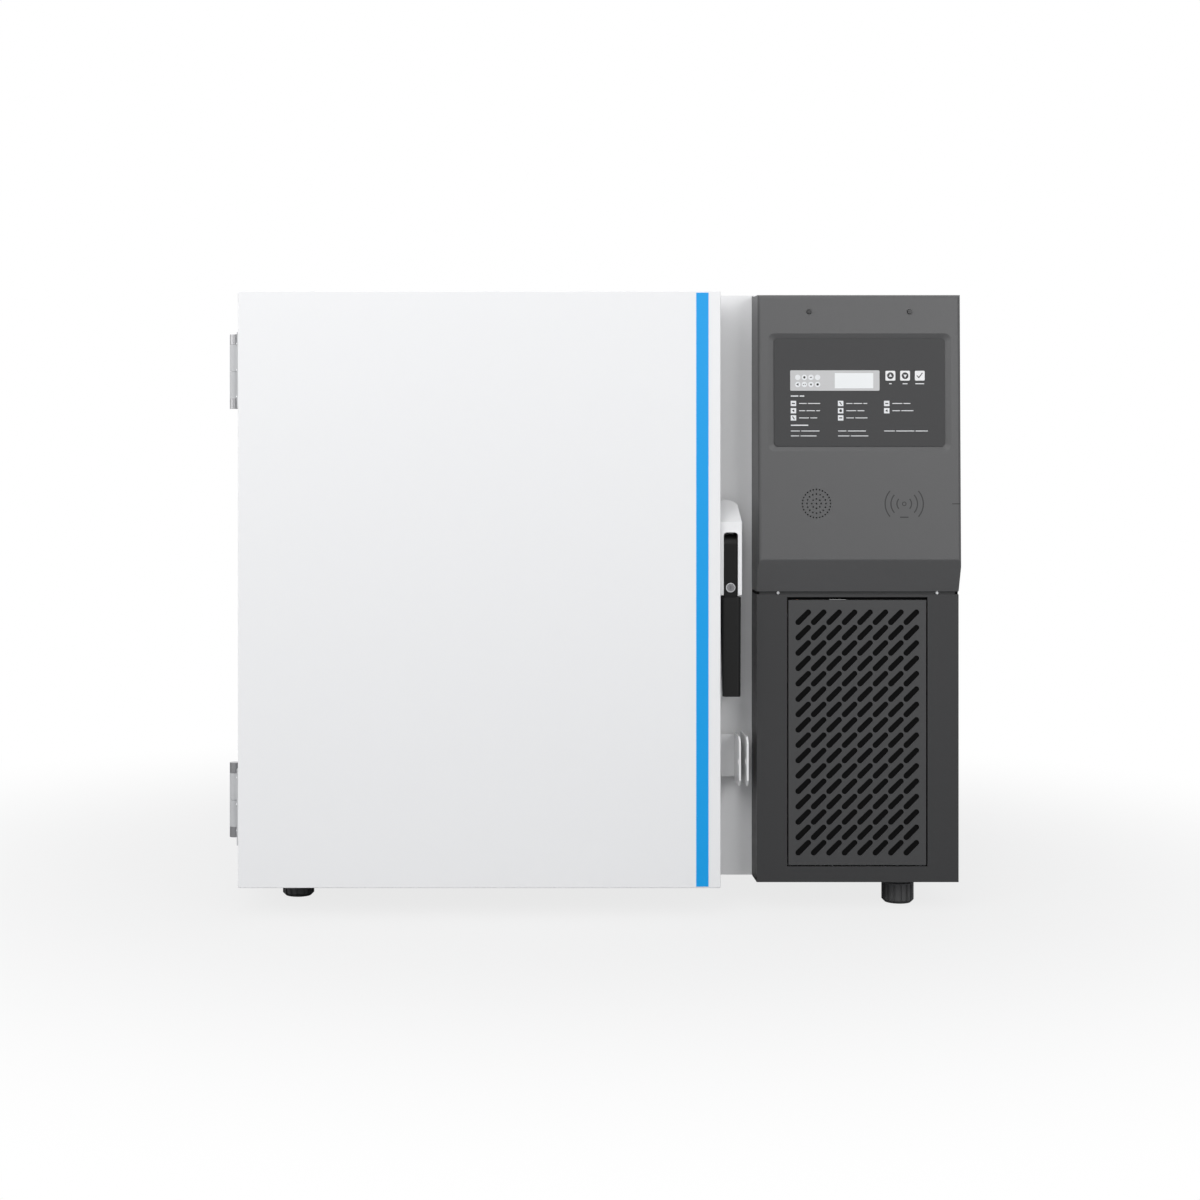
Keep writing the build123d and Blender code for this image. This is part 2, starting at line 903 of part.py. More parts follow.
# Steel hook on the back of the arm; its nose is an arc about the lever's pin, so that it
# swings past the keeper's bar without touching it.
keeper_y = y_face - keeper_out
nose_inner = sqrt((keeper_y - pin_y) ** 2 + keeper_drop**2)
nose_inner += keeper_radius + hook_arc_gap
nose_outer = nose_inner + hook_nose
hook_under = keeper_height - keeper_radius - hook_bar_gap
with BuildPart() as latch_hook:
    with BuildSketch(side_plane(handle_mid - hook_thickness / 2)) as nose:
        with Locations((pin_y, lever_pin_height)):
            Circle(nose_outer)
            Circle(nose_inner, mode=Mode.SUBTRACT)
        with Locations((keeper_y, (hook_under - hook_depth + keeper_height + hook_tip) / 2)):
            Rectangle(
                4 * keeper_out,
                keeper_height + hook_tip - hook_under + hook_depth,
                mode=Mode.INTERSECT,
            )
        with BuildLine():
            Polyline(
                (arm_y[1], lever_pin_height - hook_root),
                (keeper_y - 2 * keeper_radius, hook_under),
                (keeper_y + keeper_radius, hook_under),
                (keeper_y + keeper_radius, hook_under - hook_depth),
                (keeper_y - 2 * keeper_radius, hook_under - hook_depth),
                (arm_y[1], keeper_height - hook_foot_drop),
                close=True,
            )
        make_face()
    extrude(nose.sketch, amount=hook_thickness)

# Keeper on the cabinet's strip: a plate with two cheeks and a cross bar.
cheek_gap = hook_thickness + 2 * keeper_cheek_gap
cheek_outer = cheek_gap / 2 + keeper_sheet
with BuildPart() as latch_keeper:
    block(
        (handle_mid - handle_width / 2, handle_mid + handle_width / 2),
        (y_face - keeper_base, y_face),
        (keeper_height - keeper_plate_height / 2, keeper_height + keeper_plate_height / 2),
    )
    for side in (-cheek_outer, cheek_gap / 2):
        block(
            (handle_mid + side, handle_mid + side + keeper_sheet),
            (keeper_y - keeper_radius - keeper_cheek_rim, y_face - keeper_base),
            (keeper_height - keeper_cheek_height / 2, keeper_height + keeper_cheek_height / 2),
        )
    rod(
        side_plane(handle_mid - cheek_outer),
        [(keeper_y, keeper_height)],
        keeper_radius,
        2 * cheek_outer,
    )

# Padlock hasp

hasp_middle = lever_pin_height - hasp_drop
hasp_z = (hasp_middle - hasp_height / 2, hasp_middle + hasp_height / 2)


def ear(x, reach, back):
    """A plate that stands forward, with cut corners and the padlock's hole."""
    with BuildSketch(side_plane(x - hasp_sheet / 2)) as outline:
        with BuildLine():
            Polyline(
                (back, hasp_z[0]),
                (y_face - reach + hasp_chamfer, hasp_z[0]),
                (y_face - reach, hasp_z[0] + hasp_chamfer),
                (y_face - reach, hasp_z[1] - hasp_chamfer),
                (y_face - reach + hasp_chamfer, hasp_z[1]),
                (back, hasp_z[1]),
                close=True,
            )
        make_face()
        with Locations((y_face - hasp_hole_reach, hasp_middle)):
            Circle(hasp_hole_radius, mode=Mode.SUBTRACT)
    extrude(outline.sketch, amount=hasp_sheet)


bracket_z = (hasp_z[0] + hasp_bottom_inset, hasp_z[1] - hasp_top_inset)
with BuildPart() as hasp_door:
    ear(x_door + hasp_door_ear, hasp_door_reach, y_door_back)
    block(
        (x_door, x_door + hasp_door_ear),
        (y_door_back - hasp_sheet, y_door_back),
        bracket_z,
    )
    return_y = (y_door_back - hasp_return, y_door_back)
    block((x_door, x_door + hasp_sheet), return_y, bracket_z)

with BuildPart() as hasp_cabinet:
    ear(x_door + hasp_cabinet_ear, hasp_cabinet_reach, y_face)
    block(
        (x_door + hasp_cabinet_ear, x_cab - hasp_wall_gap),
        (y_face - hasp_sheet, y_face),
        wider(hasp_z, -hasp_foot_inset),
    )

# Front of the machine compartment

grille_x = (x_cab + grille_left, x_cab + grille_left + grille_width)
grille_z = (z_low + grille_bottom, z_low + grille_bottom + grille_height)
opening_x = wider(grille_x, grille_gap)
opening_z = (grille_z[0] - grille_gap, grille_z[1] + grille_top_gap)
pivot_y = y_frame + grille_pivot_set
pivot_z = grille_z[0] + grille_pivot_set
bright_z = z_frame + hood_gap / 2

# Folded frame round the grille, with returns that carry the panel's pivots and a neck
# that the hood stands on.
with BuildPart() as front_frame:
    block((x_cab, x_right), (y_frame, y_face), (z_low, z_frame))
    neck_x = wider((x_cab, x_right), -neck_inset)
    block(neck_x, (y_frame + neck_inset, y_face), (z_frame, z_hood))
    block(
        wider((x_cab, x_right), -frame_sheet),
        (y_frame + frame_sheet, y_face),
        (z_low, z_frame - frame_sheet),
        Mode.SUBTRACT,
    )
    block(
        wider(neck_x, -frame_sheet),
        (y_frame + neck_inset + frame_sheet, y_face),
        (z_frame - frame_sheet, z_hood),
        Mode.SUBTRACT,
    )
    block(wider(opening_x, frame_sheet), (y_frame, y_frame + grille_depth), opening_z)
    block(opening_x, (y_frame, y_frame + grille_depth), opening_z, Mode.SUBTRACT)
    rod(
        side_plane(opening_x[0] - frame_sheet),
        [(pivot_y, pivot_z)],
        grille_pivot_radius + running_clearance,
        opening_x[1] - opening_x[0] + 2 * frame_sheet,
        Mode.SUBTRACT,
    )

# Slotted panel: a pan of sheet with slanting slots and a pivot stud at each lower corner.
with BuildPart() as grille_panel:
    block(grille_x, (y_frame, y_frame + grille_depth), grille_z)
    block(
        wider(grille_x, -frame_sheet),
        (y_frame + frame_sheet, y_frame + grille_depth),
        wider(grille_z, -frame_sheet),
        Mode.SUBTRACT,
    )
    with BuildSketch(front_plane(y_frame)) as slots:
        with Locations((sum(grille_x) / 2, sum(grille_z) / 2)):
            with GridLocations(slot_pitch_x, slot_pitch_z, slot_columns, slot_rows):
                with Locations(Rotation(0, 0, 45)):
                    Rectangle(grille_slot_centres, grille_slot_width)
                    with GridLocations(grille_slot_centres, 1, 2, 1):
                        RegularPolygon(grille_slot_width / 2, 6, rotation=30)
    extrude(slots.sketch, amount=-frame_sheet, mode=Mode.SUBTRACT)
    for start, reach in (
        (grille_x[0], -grille_gap - frame_sheet),
        (grille_x[1], grille_gap + frame_sheet),
    ):
        rod(side_plane(start), [(pivot_y, pivot_z)], grille_pivot_radius, reach)

with BuildPart() as air_filter:
    block(
        wider(grille_x, -frame_sheet),
        (y_frame + frame_sheet, y_frame + frame_sheet + filter_thickness),
        wider(grille_z, -frame_sheet),
    )
    # ribs of the pleated mat
    pleats = 12
    with BuildSketch(front_plane(y_frame + frame_sheet + filter_thickness)) as valleys:
        with Locations((sum(grille_x) / 2, sum(grille_z) / 2)):
            with GridLocations((grille_width - 10) / pleats, 1, pleats, 1):
                Rectangle(6, grille_height - 20)
    extrude(valleys.sketch, amount=filter_thickness / 2, mode=Mode.SUBTRACT)

# Control hood

hood_tilt = atan(
    (hood_lip_proud - hood_top_proud) / (z_hood_top - hood_lip_height)
)
hood_face = Plane(
    origin=(x_machine, y_face - hood_top_proud, z_hood_top),
    x_dir=(1, 0, 0),
    z_dir=(0, -cos(hood_tilt), sin(hood_tilt)),
)
usb_z = z_hood_top - speaker_drop


# side view of the hood: a face that leans out, a lip, and a slope back to the frame
hood_corners = (
    (y_face, z_hood_top),
    (y_face - hood_top_proud, z_hood_top),
    (y_face - hood_lip_proud, hood_lip_height),
    (y_frame, z_hood),
    (y_face, z_hood),
)


def on_face(right, down):
    """A place on the hood's face, from the middle of its top edge."""
    return (right, -down)


key_places = [on_face(key_offset + n * key_pitch, key_drop) for n in range(3)]
speaker_place = on_face(-speaker_offset, speaker_drop)
screw_places = [on_face(side * screw_offset, screw_drop) for side in (-1, 1)]
key_well = key_size + 2 * key_clearance
window_place = on_face(window_offset, window_drop)
recess_place = on_face(0, recess_drop + recess_height / 2)
membrane_floor = -recess_depth + membrane_thickness

# Moulded hood with the sloped recess, the speaker's holes and the port's opening.
with BuildPart() as control_hood:
    with BuildSketch(side_plane(x_cab)):
        with BuildLine():
            Polyline(*hood_corners, close=True)
        make_face()
    extrude(amount=machine_width)
    front_edges = control_hood.faces().sort_by(Axis.Y)[0].edges()
    fillet(front_edges, hood_edge_radius)
    with BuildSketch(side_plane(x_cab + hood_wall)):
        with BuildLine():
            Polyline(*hood_corners, close=True)
        make_face()
        offset(amount=-hood_wall, kind=Kind.INTERSECTION)
    extrude(amount=machine_width - 2 * hood_wall, mode=Mode.SUBTRACT)
    block(
        wider((x_cab, x_right), -hood_wall),
        (y_face - 2 * hood_wall, y_face),
        (z_hood + hood_wall, z_hood_top - hood_wall),
        Mode.SUBTRACT,
    )
    block(
        wider(neck_x, -frame_sheet),
        (y_frame + neck_inset + hood_wall, y_face),
        (z_hood, z_hood + hood_wall),
        Mode.SUBTRACT,
    )
    with BuildSketch(hood_face):
        with Locations(recess_place):
            RectangleRounded(recess_width, recess_height, recess_radius)
    with BuildSketch(hood_face.offset(-recess_depth)):
        with Locations(recess_place):
            RectangleRounded(membrane_width, membrane_height, recess_radius / 2)
    loft(mode=Mode.SUBTRACT)
    with BuildSketch(hood_face):
        with Locations(*key_places):
            RectangleRounded(key_well, key_well, key_radius)
        with Locations(speaker_place):
            RegularPolygon(speaker_hole_radius, 6)
            for count, radius in speaker_rings:
                with PolarLocations(radius, count):
                    RegularPolygon(speaker_hole_radius, 6)
        with Locations(*screw_places):
            Circle(screw_shank_radius)
    extrude(amount=-2 * hood_wall, mode=Mode.SUBTRACT)
    block(
        (x_right - hood_wall, x_right),
        (y_face - usb_set - usb_width / 2, y_face - usb_set + usb_width / 2),
        (usb_z - usb_height / 2, usb_z + usb_height / 2),
        Mode.SUBTRACT,
    )

# Printed sheet over the switches, with a window for each key.
with BuildPart() as membrane_panel:
    with BuildSketch(hood_face.offset(-recess_depth)):
        with Locations(recess_place):
            RectangleRounded(membrane_width, membrane_height, recess_radius / 2)
        with Locations(*key_places):
            RectangleRounded(key_well, key_well, key_radius, mode=Mode.SUBTRACT)
    extrude(amount=membrane_thickness)

with BuildPart() as display_window:
    with BuildSketch(hood_face.offset(membrane_floor)):
        with Locations(window_place):
            RectangleRounded(window_width, window_height, key_radius)
    extrude(amount=window_thickness)

for name, place in zip(("key_up", "key_down", "key_confirm"), key_places):
    with BuildPart() as key:
        with BuildSketch(hood_face.offset(membrane_floor + key_proud)):
            with Locations(place):
                RectangleRounded(key_size, key_size, key_radius)
        extrude(amount=-key_body)
    save(key, name)

with BuildPart() as hood_screws:
    with BuildSketch(hood_face):
        with Locations(*screw_places):
            Circle(screw_head_radius)
    extrude(amount=screw_head_height, taper=20)
    with BuildSketch(hood_face):
        with Locations(*screw_places):
            Circle(screw_shank_radius)
    extrude(amount=-2 * hood_wall)

# Bright screws in the shadow gap, which hold the hood's lower edge.
with BuildPart() as lower_screws:
    for side in (-bright_screw_offset, bright_screw_offset):
        rod(
            front_plane(y_frame + neck_inset),
            [(x_machine + side, bright_z)],
            bright_screw_radius,
            neck_inset - 1,
        )

inner_face = hood_face.offset(-hood_wall)
key_back = membrane_floor + key_proud - key_body
key_stop = hood_wall + board_post_height + key_back - key_travel
with BuildPart() as speaker:
    with BuildSketch(inner_face):
        with Locations(speaker_place):
            Circle(speaker_radius)
    extrude(amount=-speaker_rim)
    with BuildSketch(inner_face):
        with Locations(speaker_place):
            Circle(speaker_magnet_radius)
    extrude(amount=-speaker_depth)

# Boards on posts behind the membrane and behind the card reader's mark.
with BuildPart() as control_boards:
    with BuildSketch(inner_face):
        with Locations(recess_place):
            with GridLocations(board_width - 10, board_height - 10, 2, 2):
                Circle(board_post_radius)
    extrude(amount=-board_post_height)
    with BuildSketch(inner_face.offset(-board_post_height)):
        with Locations(recess_place):
            Rectangle(board_width, board_height)
    extrude(amount=-board_thickness)
    with BuildSketch(inner_face.offset(-board_post_height)):
        with Locations(*key_places):
            Circle(board_post_radius)
    extrude(amount=key_stop)
    with BuildSketch(inner_face):
        with Locations(on_face(speaker_offset, speaker_drop)):
            Rectangle(reader_size, reader_size)
    extrude(amount=-board_thickness)

# Metal data port in the hood's right wall, with its tongue.
usb_y = y_face - usb_set
with BuildPart() as usb_port:
    port_y = (usb_y - usb_width / 2, usb_y + usb_width / 2)
    port_z = (usb_z - usb_height / 2, usb_z + usb_height / 2)
    block((x_right - usb_depth, x_right), port_y, port_z)
    block(
        (x_right - usb_depth + usb_wall, x_right),
        wider(port_y, -usb_wall),
        wider(port_z, -usb_wall),
        Mode.SUBTRACT,
    )
    block(
        (x_right - usb_depth, x_right - 2),
        wider(port_y, -usb_wall),
        (port_z[1] - usb_wall - 1.6, port_z[1] - usb_wall),
    )

# Covers of the machine compartment

def louvres(plane, at, width, rows, thickness):
    """A column of open slots through a sheet, cut along the plane's normal."""
    with BuildSketch(plane) as openings:
        with Locations(at):
            with GridLocations(1, louvre_pitch, 1, rows):
                Rectangle(width, louvre_height)
    extrude(openings.sketch, amount=-thickness, mode=Mode.SUBTRACT)


# One sheet folded over the top and down the right side.
with BuildPart() as side_cover:
    block((x_cab, x_right), (y_face, y_back), (z_top - sheet, z_top))
    block((x_cover, x_right), (y_face, y_back), (z_low, z_top))
    louvres(
        side_plane(x_right),
        (y_back - louvre_side_inset, z_base + louvre_side_height),
        louvre_side_width,
        12,
        sheet,
    )

# Rear services

inlet_at = (x_machine - inlet_offset, z_base + inlet_level)
rocker_at = (x_machine + rocker_offset, z_base + inlet_level)
with BuildPart() as rear_cover:
    block((x_cab, x_cover), (y_cover, y_back), (z_low, z_top - sheet))
    louvres(
        front_plane(y_back),
        (x_machine, z_base + louvre_rear_height),
        machine_width - 2 * louvre_rear_margin,
        16,
        -sheet,
    )
    for at, width, height in (
        (inlet_at, inlet_width, inlet_height),
        (rocker_at, rocker_width, rocker_height),
    ):
        block(
            (at[0] - width / 2, at[0] + width / 2),
            (y_cover, y_back),
            (at[1] - height / 2, at[1] + height / 2),
            Mode.SUBTRACT,
        )

inlet_wall = 3
with BuildPart() as power_inlet:
    x = (inlet_at[0] - inlet_width / 2, inlet_at[0] + inlet_width / 2)
    z = (inlet_at[1] - inlet_height / 2, inlet_at[1] + inlet_height / 2)
    block(x, (y_back - inlet_depth, y_back + 2), z)
    block(wider(x, 3), (y_back, y_back + 2), wider(z, 3))
    block(
        wider(x, -2 * inlet_wall - 5),
        (y_back - inlet_depth + inlet_wall, y_back + 2),
        wider(z, -inlet_wall),
        Mode.SUBTRACT,
    )
    pin_size = (2, 8)
    for dx, dz in ((-9, -4), (9, -4), (0, 4)):
        block(
            (inlet_at[0] + dx - pin_size[0] / 2, inlet_at[0] + dx + pin_size[0] / 2),
            (y_back - inlet_depth, y_back - 3),
            (inlet_at[1] + dz - pin_size[1] / 2, inlet_at[1] + dz + pin_size[1] / 2),
        )

rocker_wall = 2
rocker_gap = 0.3
rocker_pin_radius = 1.5
rocker_pin_y = y_back - 5
with BuildPart() as switch_body:
    x = (rocker_at[0] - rocker_width / 2, rocker_at[0] + rocker_width / 2)
    z = (rocker_at[1] - rocker_height / 2, rocker_at[1] + rocker_height / 2)
    block(x, (y_back - rocker_depth, y_back + 1.5), z)
    block(wider(x, 2), (y_back, y_back + 1.5), wider(z, 2))
    block(
        wider(x, -rocker_wall),
        (y_back - rocker_depth + rocker_wall, y_back + 1.5),
        wider(z, -rocker_wall),
        Mode.SUBTRACT,
    )
    rod(
        side_plane(x[0] + rocker_wall / 4),
        [(rocker_pin_y, rocker_at[1])],
        rocker_pin_radius + running_clearance,
        rocker_width - rocker_wall / 2,
        Mode.SUBTRACT,
    )

rocker_half = rocker_height / 2 - rocker_wall - 3
with BuildPart() as switch_rocker:
    with BuildSketch(side_plane(x[0] + rocker_wall + rocker_gap)) as rocker_side:
        with BuildLine():
            Polyline(
                (rocker_pin_y - 4, rocker_at[1] - rocker_half + 5),
                (y_back + 1, rocker_at[1] - rocker_half),
                (y_back + 1.5, rocker_at[1]),
                (y_back + 4.5, rocker_at[1] + rocker_half),
                (rocker_pin_y - 4, rocker_at[1] + rocker_half - 3),
                close=True,
            )
        make_face()
    extrude(rocker_side.sketch, amount=rocker_width - 2 * rocker_wall - 2 * rocker_gap)
    rod(
        side_plane(x[0] + rocker_wall / 2),
        [(rocker_pin_y, rocker_at[1])],
        rocker_pin_radius,
        rocker_width - rocker_wall,
    )

# Condenser, fan and shroud

condenser_y = (y_frame + condenser_setback, y_frame + condenser_setback + condenser_depth)
condenser_x = (x_machine - condenser_width / 2, x_machine + condenser_width / 2)
condenser_z = (z_base, z_base + condenser_height)
with BuildPart() as condenser:
    block(condenser_x, condenser_y, condenser_z)
    # air gaps between the fins, from the front and from the back, with the tubes between
    fin_pitch = (condenser_width - 2 * end_plate) / condenser_gaps
    for start, depth in (
        (condenser_y[0], -condenser_gap_depth),
        (condenser_y[1], condenser_gap_depth),
    ):
        with BuildSketch(front_plane(start)):
            with Locations((x_machine, sum(condenser_z) / 2)):
                with GridLocations(fin_pitch, 1, condenser_gaps, 1):
                    Rectangle(
                        fin_pitch - condenser_fin, condenser_height - 2 * end_plate
                    )
        extrude(amount=depth, mode=Mode.SUBTRACT)
    # return bends outside the left end plate
    with BuildSketch(front_plane(sum(condenser_y) / 2 + pipe_radius)):
        with Locations((condenser_x[0], sum(condenser_z) / 2)):
            with GridLocations(1, condenser_height / bend_count, 1, bend_count):
                Circle(bend_reach)
                Circle(bend_reach - 2 * pipe_radius, mode=Mode.SUBTRACT)
        with Locations((condenser_x[0] - bend_reach, sum(condenser_z) / 2)):
            Rectangle(2 * bend_reach, condenser_height, mode=Mode.INTERSECT)
    extrude(amount=2 * pipe_radius)

shroud_y = (condenser_y[1], condenser_y[1] + shroud_depth)
fan_at = (x_machine, sum(condenser_z) / 2)
shroud_back = front_plane(shroud_y[1] + end_plate)

# Pan behind the condenser with the fan's opening and four arms that carry the motor.
with BuildPart() as fan_shroud:
    block(condenser_x, shroud_y, condenser_z)
    block(
        wider(condenser_x, -end_plate),
        (shroud_y[0], shroud_y[1] - end_plate),
        wider(condenser_z, -end_plate),
        Mode.SUBTRACT,
    )
    rod(front_plane(shroud_y[1]), [fan_at], fan_radius + fan_clearance, end_plate, Mode.SUBTRACT)
    for angle in (45, 135):
        with BuildSketch(shroud_back):
            with Locations(Location((fan_at[0], fan_at[1], 0), (0, 0, angle))):
                Rectangle(2 * (fan_radius + fan_clearance + motor_arm), motor_arm)
        extrude(amount=end_plate)
    rod(shroud_back, [fan_at], motor_radius, end_plate)
    rod(shroud_back, [fan_at], shaft_radius + 2, end_plate, Mode.SUBTRACT)

hub_y = (shroud_y[0] + 4, shroud_y[1] - 1)
shaft_end = hub_y[0] + 3
motor_y = shroud_y[1] + end_plate
with BuildPart() as fan_motor:
    rod(front_plane(motor_y + motor_length), [fan_at], motor_radius, motor_length)
    chamfer(fan_motor.faces().sort_by(Axis.Y)[-1].edges(), 5)
    rod(front_plane(motor_y), [fan_at], shaft_radius, motor_y - shaft_end)

# Five flat blades, each set at its pitch about its own radius, on one hub.
with BuildPart() as fan_blade:
    for n in range(fan_blades):
        angle = radians(360 / fan_blades * n)
        pitch = radians(fan_blade_pitch)
        blade = Plane(
            origin=(fan_at[0], sum(hub_y) / 2, fan_at[1]),
            x_dir=(cos(angle), 0, sin(angle)),
            z_dir=(-sin(angle) * sin(pitch), -cos(pitch), cos(angle) * sin(pitch)),
        )
        with BuildSketch(blade.offset(-1)):
            with BuildLine():
                Polyline(
                    (fan_hub_radius * 0.6, -fan_blade_width * 0.25),
                    (fan_radius - 2, -fan_blade_width / 2),
                    (fan_radius - 2, fan_blade_width / 2),
                    (fan_hub_radius * 0.6, fan_blade_width * 0.25),
                    close=True,
                )
            make_face()
        extrude(amount=2)
    rod(front_plane(hub_y[1]), [fan_at], fan_hub_radius, hub_y[1] - hub_y[0])
    rod(
        front_plane(hub_y[1]),
        [fan_at],
        shaft_radius + running_clearance,
        hub_y[1] - shaft_end + face_clearance,
        Mode.SUBTRACT,
    )

# Compressors

compressor_foot = z_base + mount_height
plate_top = compressor_foot + compressor_plate
compressor_top = plate_top + compressor_height + compressor_boss
compressor_places = [
    (x_machine, y_face + first_compressor_set),
    (x_machine, y_face + second_compressor_set),
]
plate_reach = mount_offset + mount_radius
dome = compressor_radius * 0.45
seam = compressor_height * 0.55

# Two welded shells with domed ends and a seam band, each on a plate.
with BuildPart() as compressors:
    for x, y in compressor_places:
        block(
            (x - plate_reach, x + plate_reach),
            (y - plate_reach, y + plate_reach),
            (compressor_foot, plate_top),
        )
        with BuildSketch(Plane(origin=(x, y, plate_top), x_dir=(1, 0, 0), z_dir=(0, -1, 0))):
            with BuildLine():
                Polyline(
                    (0, 0),
                    (compressor_radius * 0.6, 0),
                    (compressor_radius, dome),
                    (compressor_radius, seam),
                    (compressor_radius + seam_proud, seam),
                    (compressor_radius + seam_proud, seam + 6),
                    (compressor_radius, seam + 6),
                    (compressor_radius, compressor_height - dome),
                    (compressor_radius * 0.75, compressor_height - dome * 0.3),
                    (compressor_boss * 2, compressor_height),
                    (compressor_boss, compressor_height),
                    (compressor_boss, compressor_height + compressor_boss),
                    (0, compressor_height + compressor_boss),
                    close=True,
                )
            make_face()
        revolve(axis=Axis((x, y, 0), (0, 0, 1)))
        # cover over the electrical terminals
        block(
            (x - terminal_width / 2, x + terminal_width / 2),
            (y + compressor_radius - terminal_overlap, y + compressor_radius + terminal_out),
            (plate_top + terminal_level, plate_top + terminal_level + terminal_height),
        )

with BuildPart() as compressor_mounts:
    with BuildSketch(Plane.XY.offset(z_base)):
        with Locations(*compressor_places):
            with GridLocations(2 * mount_offset, 2 * mount_offset, 2, 2):
                Circle(mount_radius)
    extrude(amount=mount_height)

exchanger_at = (x_machine, y_face + exchanger_set)
with BuildPart() as cascade_exchanger:
    rod(Plane.XY.offset(z_base), [exchanger_at], exchanger_radius, exchanger_height)
    chamfer(cascade_exchanger.edges().filter_by(GeomType.CIRCLE), 8)



def pipe(*points):
    """A round tube along straight runs with bends."""
    with BuildPart() as run:
        with BuildLine() as route:
            FilletPolyline(*points, radius=pipe_bend)
        with BuildSketch(Plane(origin=route.line @ 0, z_dir=route.line % 0)):
            Circle(pipe_radius)
        sweep()
    return run.part


drier_at = (x_cab + drier_radius + drier_wall_gap, y_face + drier_set)
drier_z = (z_base + drier_level, z_base + drier_level + drier_length)
header_y = sum(condenser_y) / 2
header_x = condenser_x[0] + header_inset
gas_level = condenser_z[1] + gas_rise
liquid_level = condenser_z[1] + liquid_rise
exchanger_top = z_base + exchanger_height
line_x = x_cab + strip_line_inset
upper_line_level = z_base + strip_line_height
(high_x, high_y), (low_x, low_y) = compressor_places

# hot gas from the first compressor forward and down to the condenser
gas_line = pipe(
    (high_x, high_y, compressor_top),
    (high_x, high_y, gas_level),
    (high_x, header_y, gas_level),
    (high_x, header_y, condenser_z[1]),
)
# liquid from the condenser back to the drier
liquid_line = pipe(
    (header_x, header_y, condenser_z[1]),
    (header_x, header_y, liquid_level),
    (header_x, drier_at[1], liquid_level),
    (drier_at[0], drier_at[1], liquid_level),
    (drier_at[0], drier_at[1], drier_z[1]),
)
# hot gas of the second stage to the heat exchanger
cascade_line = pipe(
    (low_x, low_y, compressor_top),
    (low_x, low_y, exchanger_top + 40),
    (low_x, exchanger_at[1], exchanger_top + 40),
    (low_x, exchanger_at[1], exchanger_top),
)
with BuildPart() as refrigerant_pipes:
    rod(Plane.XY.offset(drier_z[0]), [drier_at], drier_radius, drier_length)
    chamfer(refrigerant_pipes.edges().filter_by(GeomType.CIRCLE), 5)
    block(
        (x_cab, drier_at[0]),
        wider((drier_at[1], drier_at[1]), 8),
        wider((sum(drier_z) / 2, sum(drier_z) / 2), 6),
    )
    add(gas_line)
    add(liquid_line)
    add(cascade_line)

# the two lines from the exchanger to the coil, which end inside the exchanger's wall
coil_side = liner_x[1] + evaporator_thickness
upper_line = pipe(
    (coil_side, line_y, line_levels[1]),
    (line_x, line_y, line_levels[1]),
    (line_x, line_y, upper_line_level),
    (line_x, exchanger_at[1] + line_spread, upper_line_level),
    (exchanger_at[0], exchanger_at[1] + line_spread, upper_line_level),
)
lower_line = pipe(
    (coil_side, line_y, line_levels[0]),
    (line_x, line_y, line_levels[0]),
    (line_x, exchanger_at[1] - line_spread, line_levels[0]),
    (exchanger_at[0], exchanger_at[1] - line_spread, line_levels[0]),
)

# Flattened copper tube in rows round three sides of the liner, joined by risers at the
# front, with the two lines that feed it through the wall.
row_pitch = (evaporator_zone[1] - evaporator_zone[0] - evaporator_height) / (
    evaporator_turns - 1
)
band_x = wider(liner_x, evaporator_thickness)
band_y = (coil_front, liner_y[1] + evaporator_thickness)
with BuildPart() as evaporator_coil:
    for row in range(evaporator_turns):
        low = evaporator_zone[0] + row * row_pitch
        block(band_x, band_y, (low, low + evaporator_height))
        block(liner_x, (coil_front, liner_y[1]), (low, low + evaporator_height), Mode.SUBTRACT)
    for row in range(evaporator_turns - 1):
        low = evaporator_zone[0] + row * row_pitch
        side = liner_x[1] if row % 2 else band_x[0]
        block(
            (side, side + evaporator_thickness),
            (coil_front, coil_front + evaporator_height),
            (low, low + row_pitch),
        )
    add(upper_line)
    add(lower_line)
    rod(
        Plane.XY.offset(z_base),
        [exchanger_at],
        exchanger_radius,
        exchanger_height,
        Mode.SUBTRACT,
    )

# Component shelf across the compartment

tray_y = (y_face + tray_setback, y_face + tray_setback + tray_depth)
with BuildPart() as component_shelf:
    block((x_cab, x_cover), tray_y, (tray_height - tray_sheet, tray_height))
    for wall in (x_cab, x_cover - tray_sheet):
        block((wall, wall + tray_sheet), tray_y, (tray_height - tray_flange, tray_height))

# Sealed battery for the alarm, with its two terminals.
with BuildPart() as backup_battery:
    battery_right = x_cover - battery_side_gap
    battery_front = tray_y[0] + battery_setback
    battery_x = (battery_right - battery_size[0], battery_right)
    battery_y = (battery_front, battery_front + battery_size[1])
    block(battery_x, battery_y, (tray_height, tray_height + battery_size[2]))
    with BuildSketch(Plane.XY.offset(tray_height + battery_size[2])):
        with Locations((sum(battery_x) / 2, sum(battery_y) / 2)):
            with GridLocations(1, battery_size[1] - 2 * battery_terminal_inset, 1, 2):
                Rectangle(battery_terminal, battery_terminal)
    extrude(amount=battery_terminal_height)

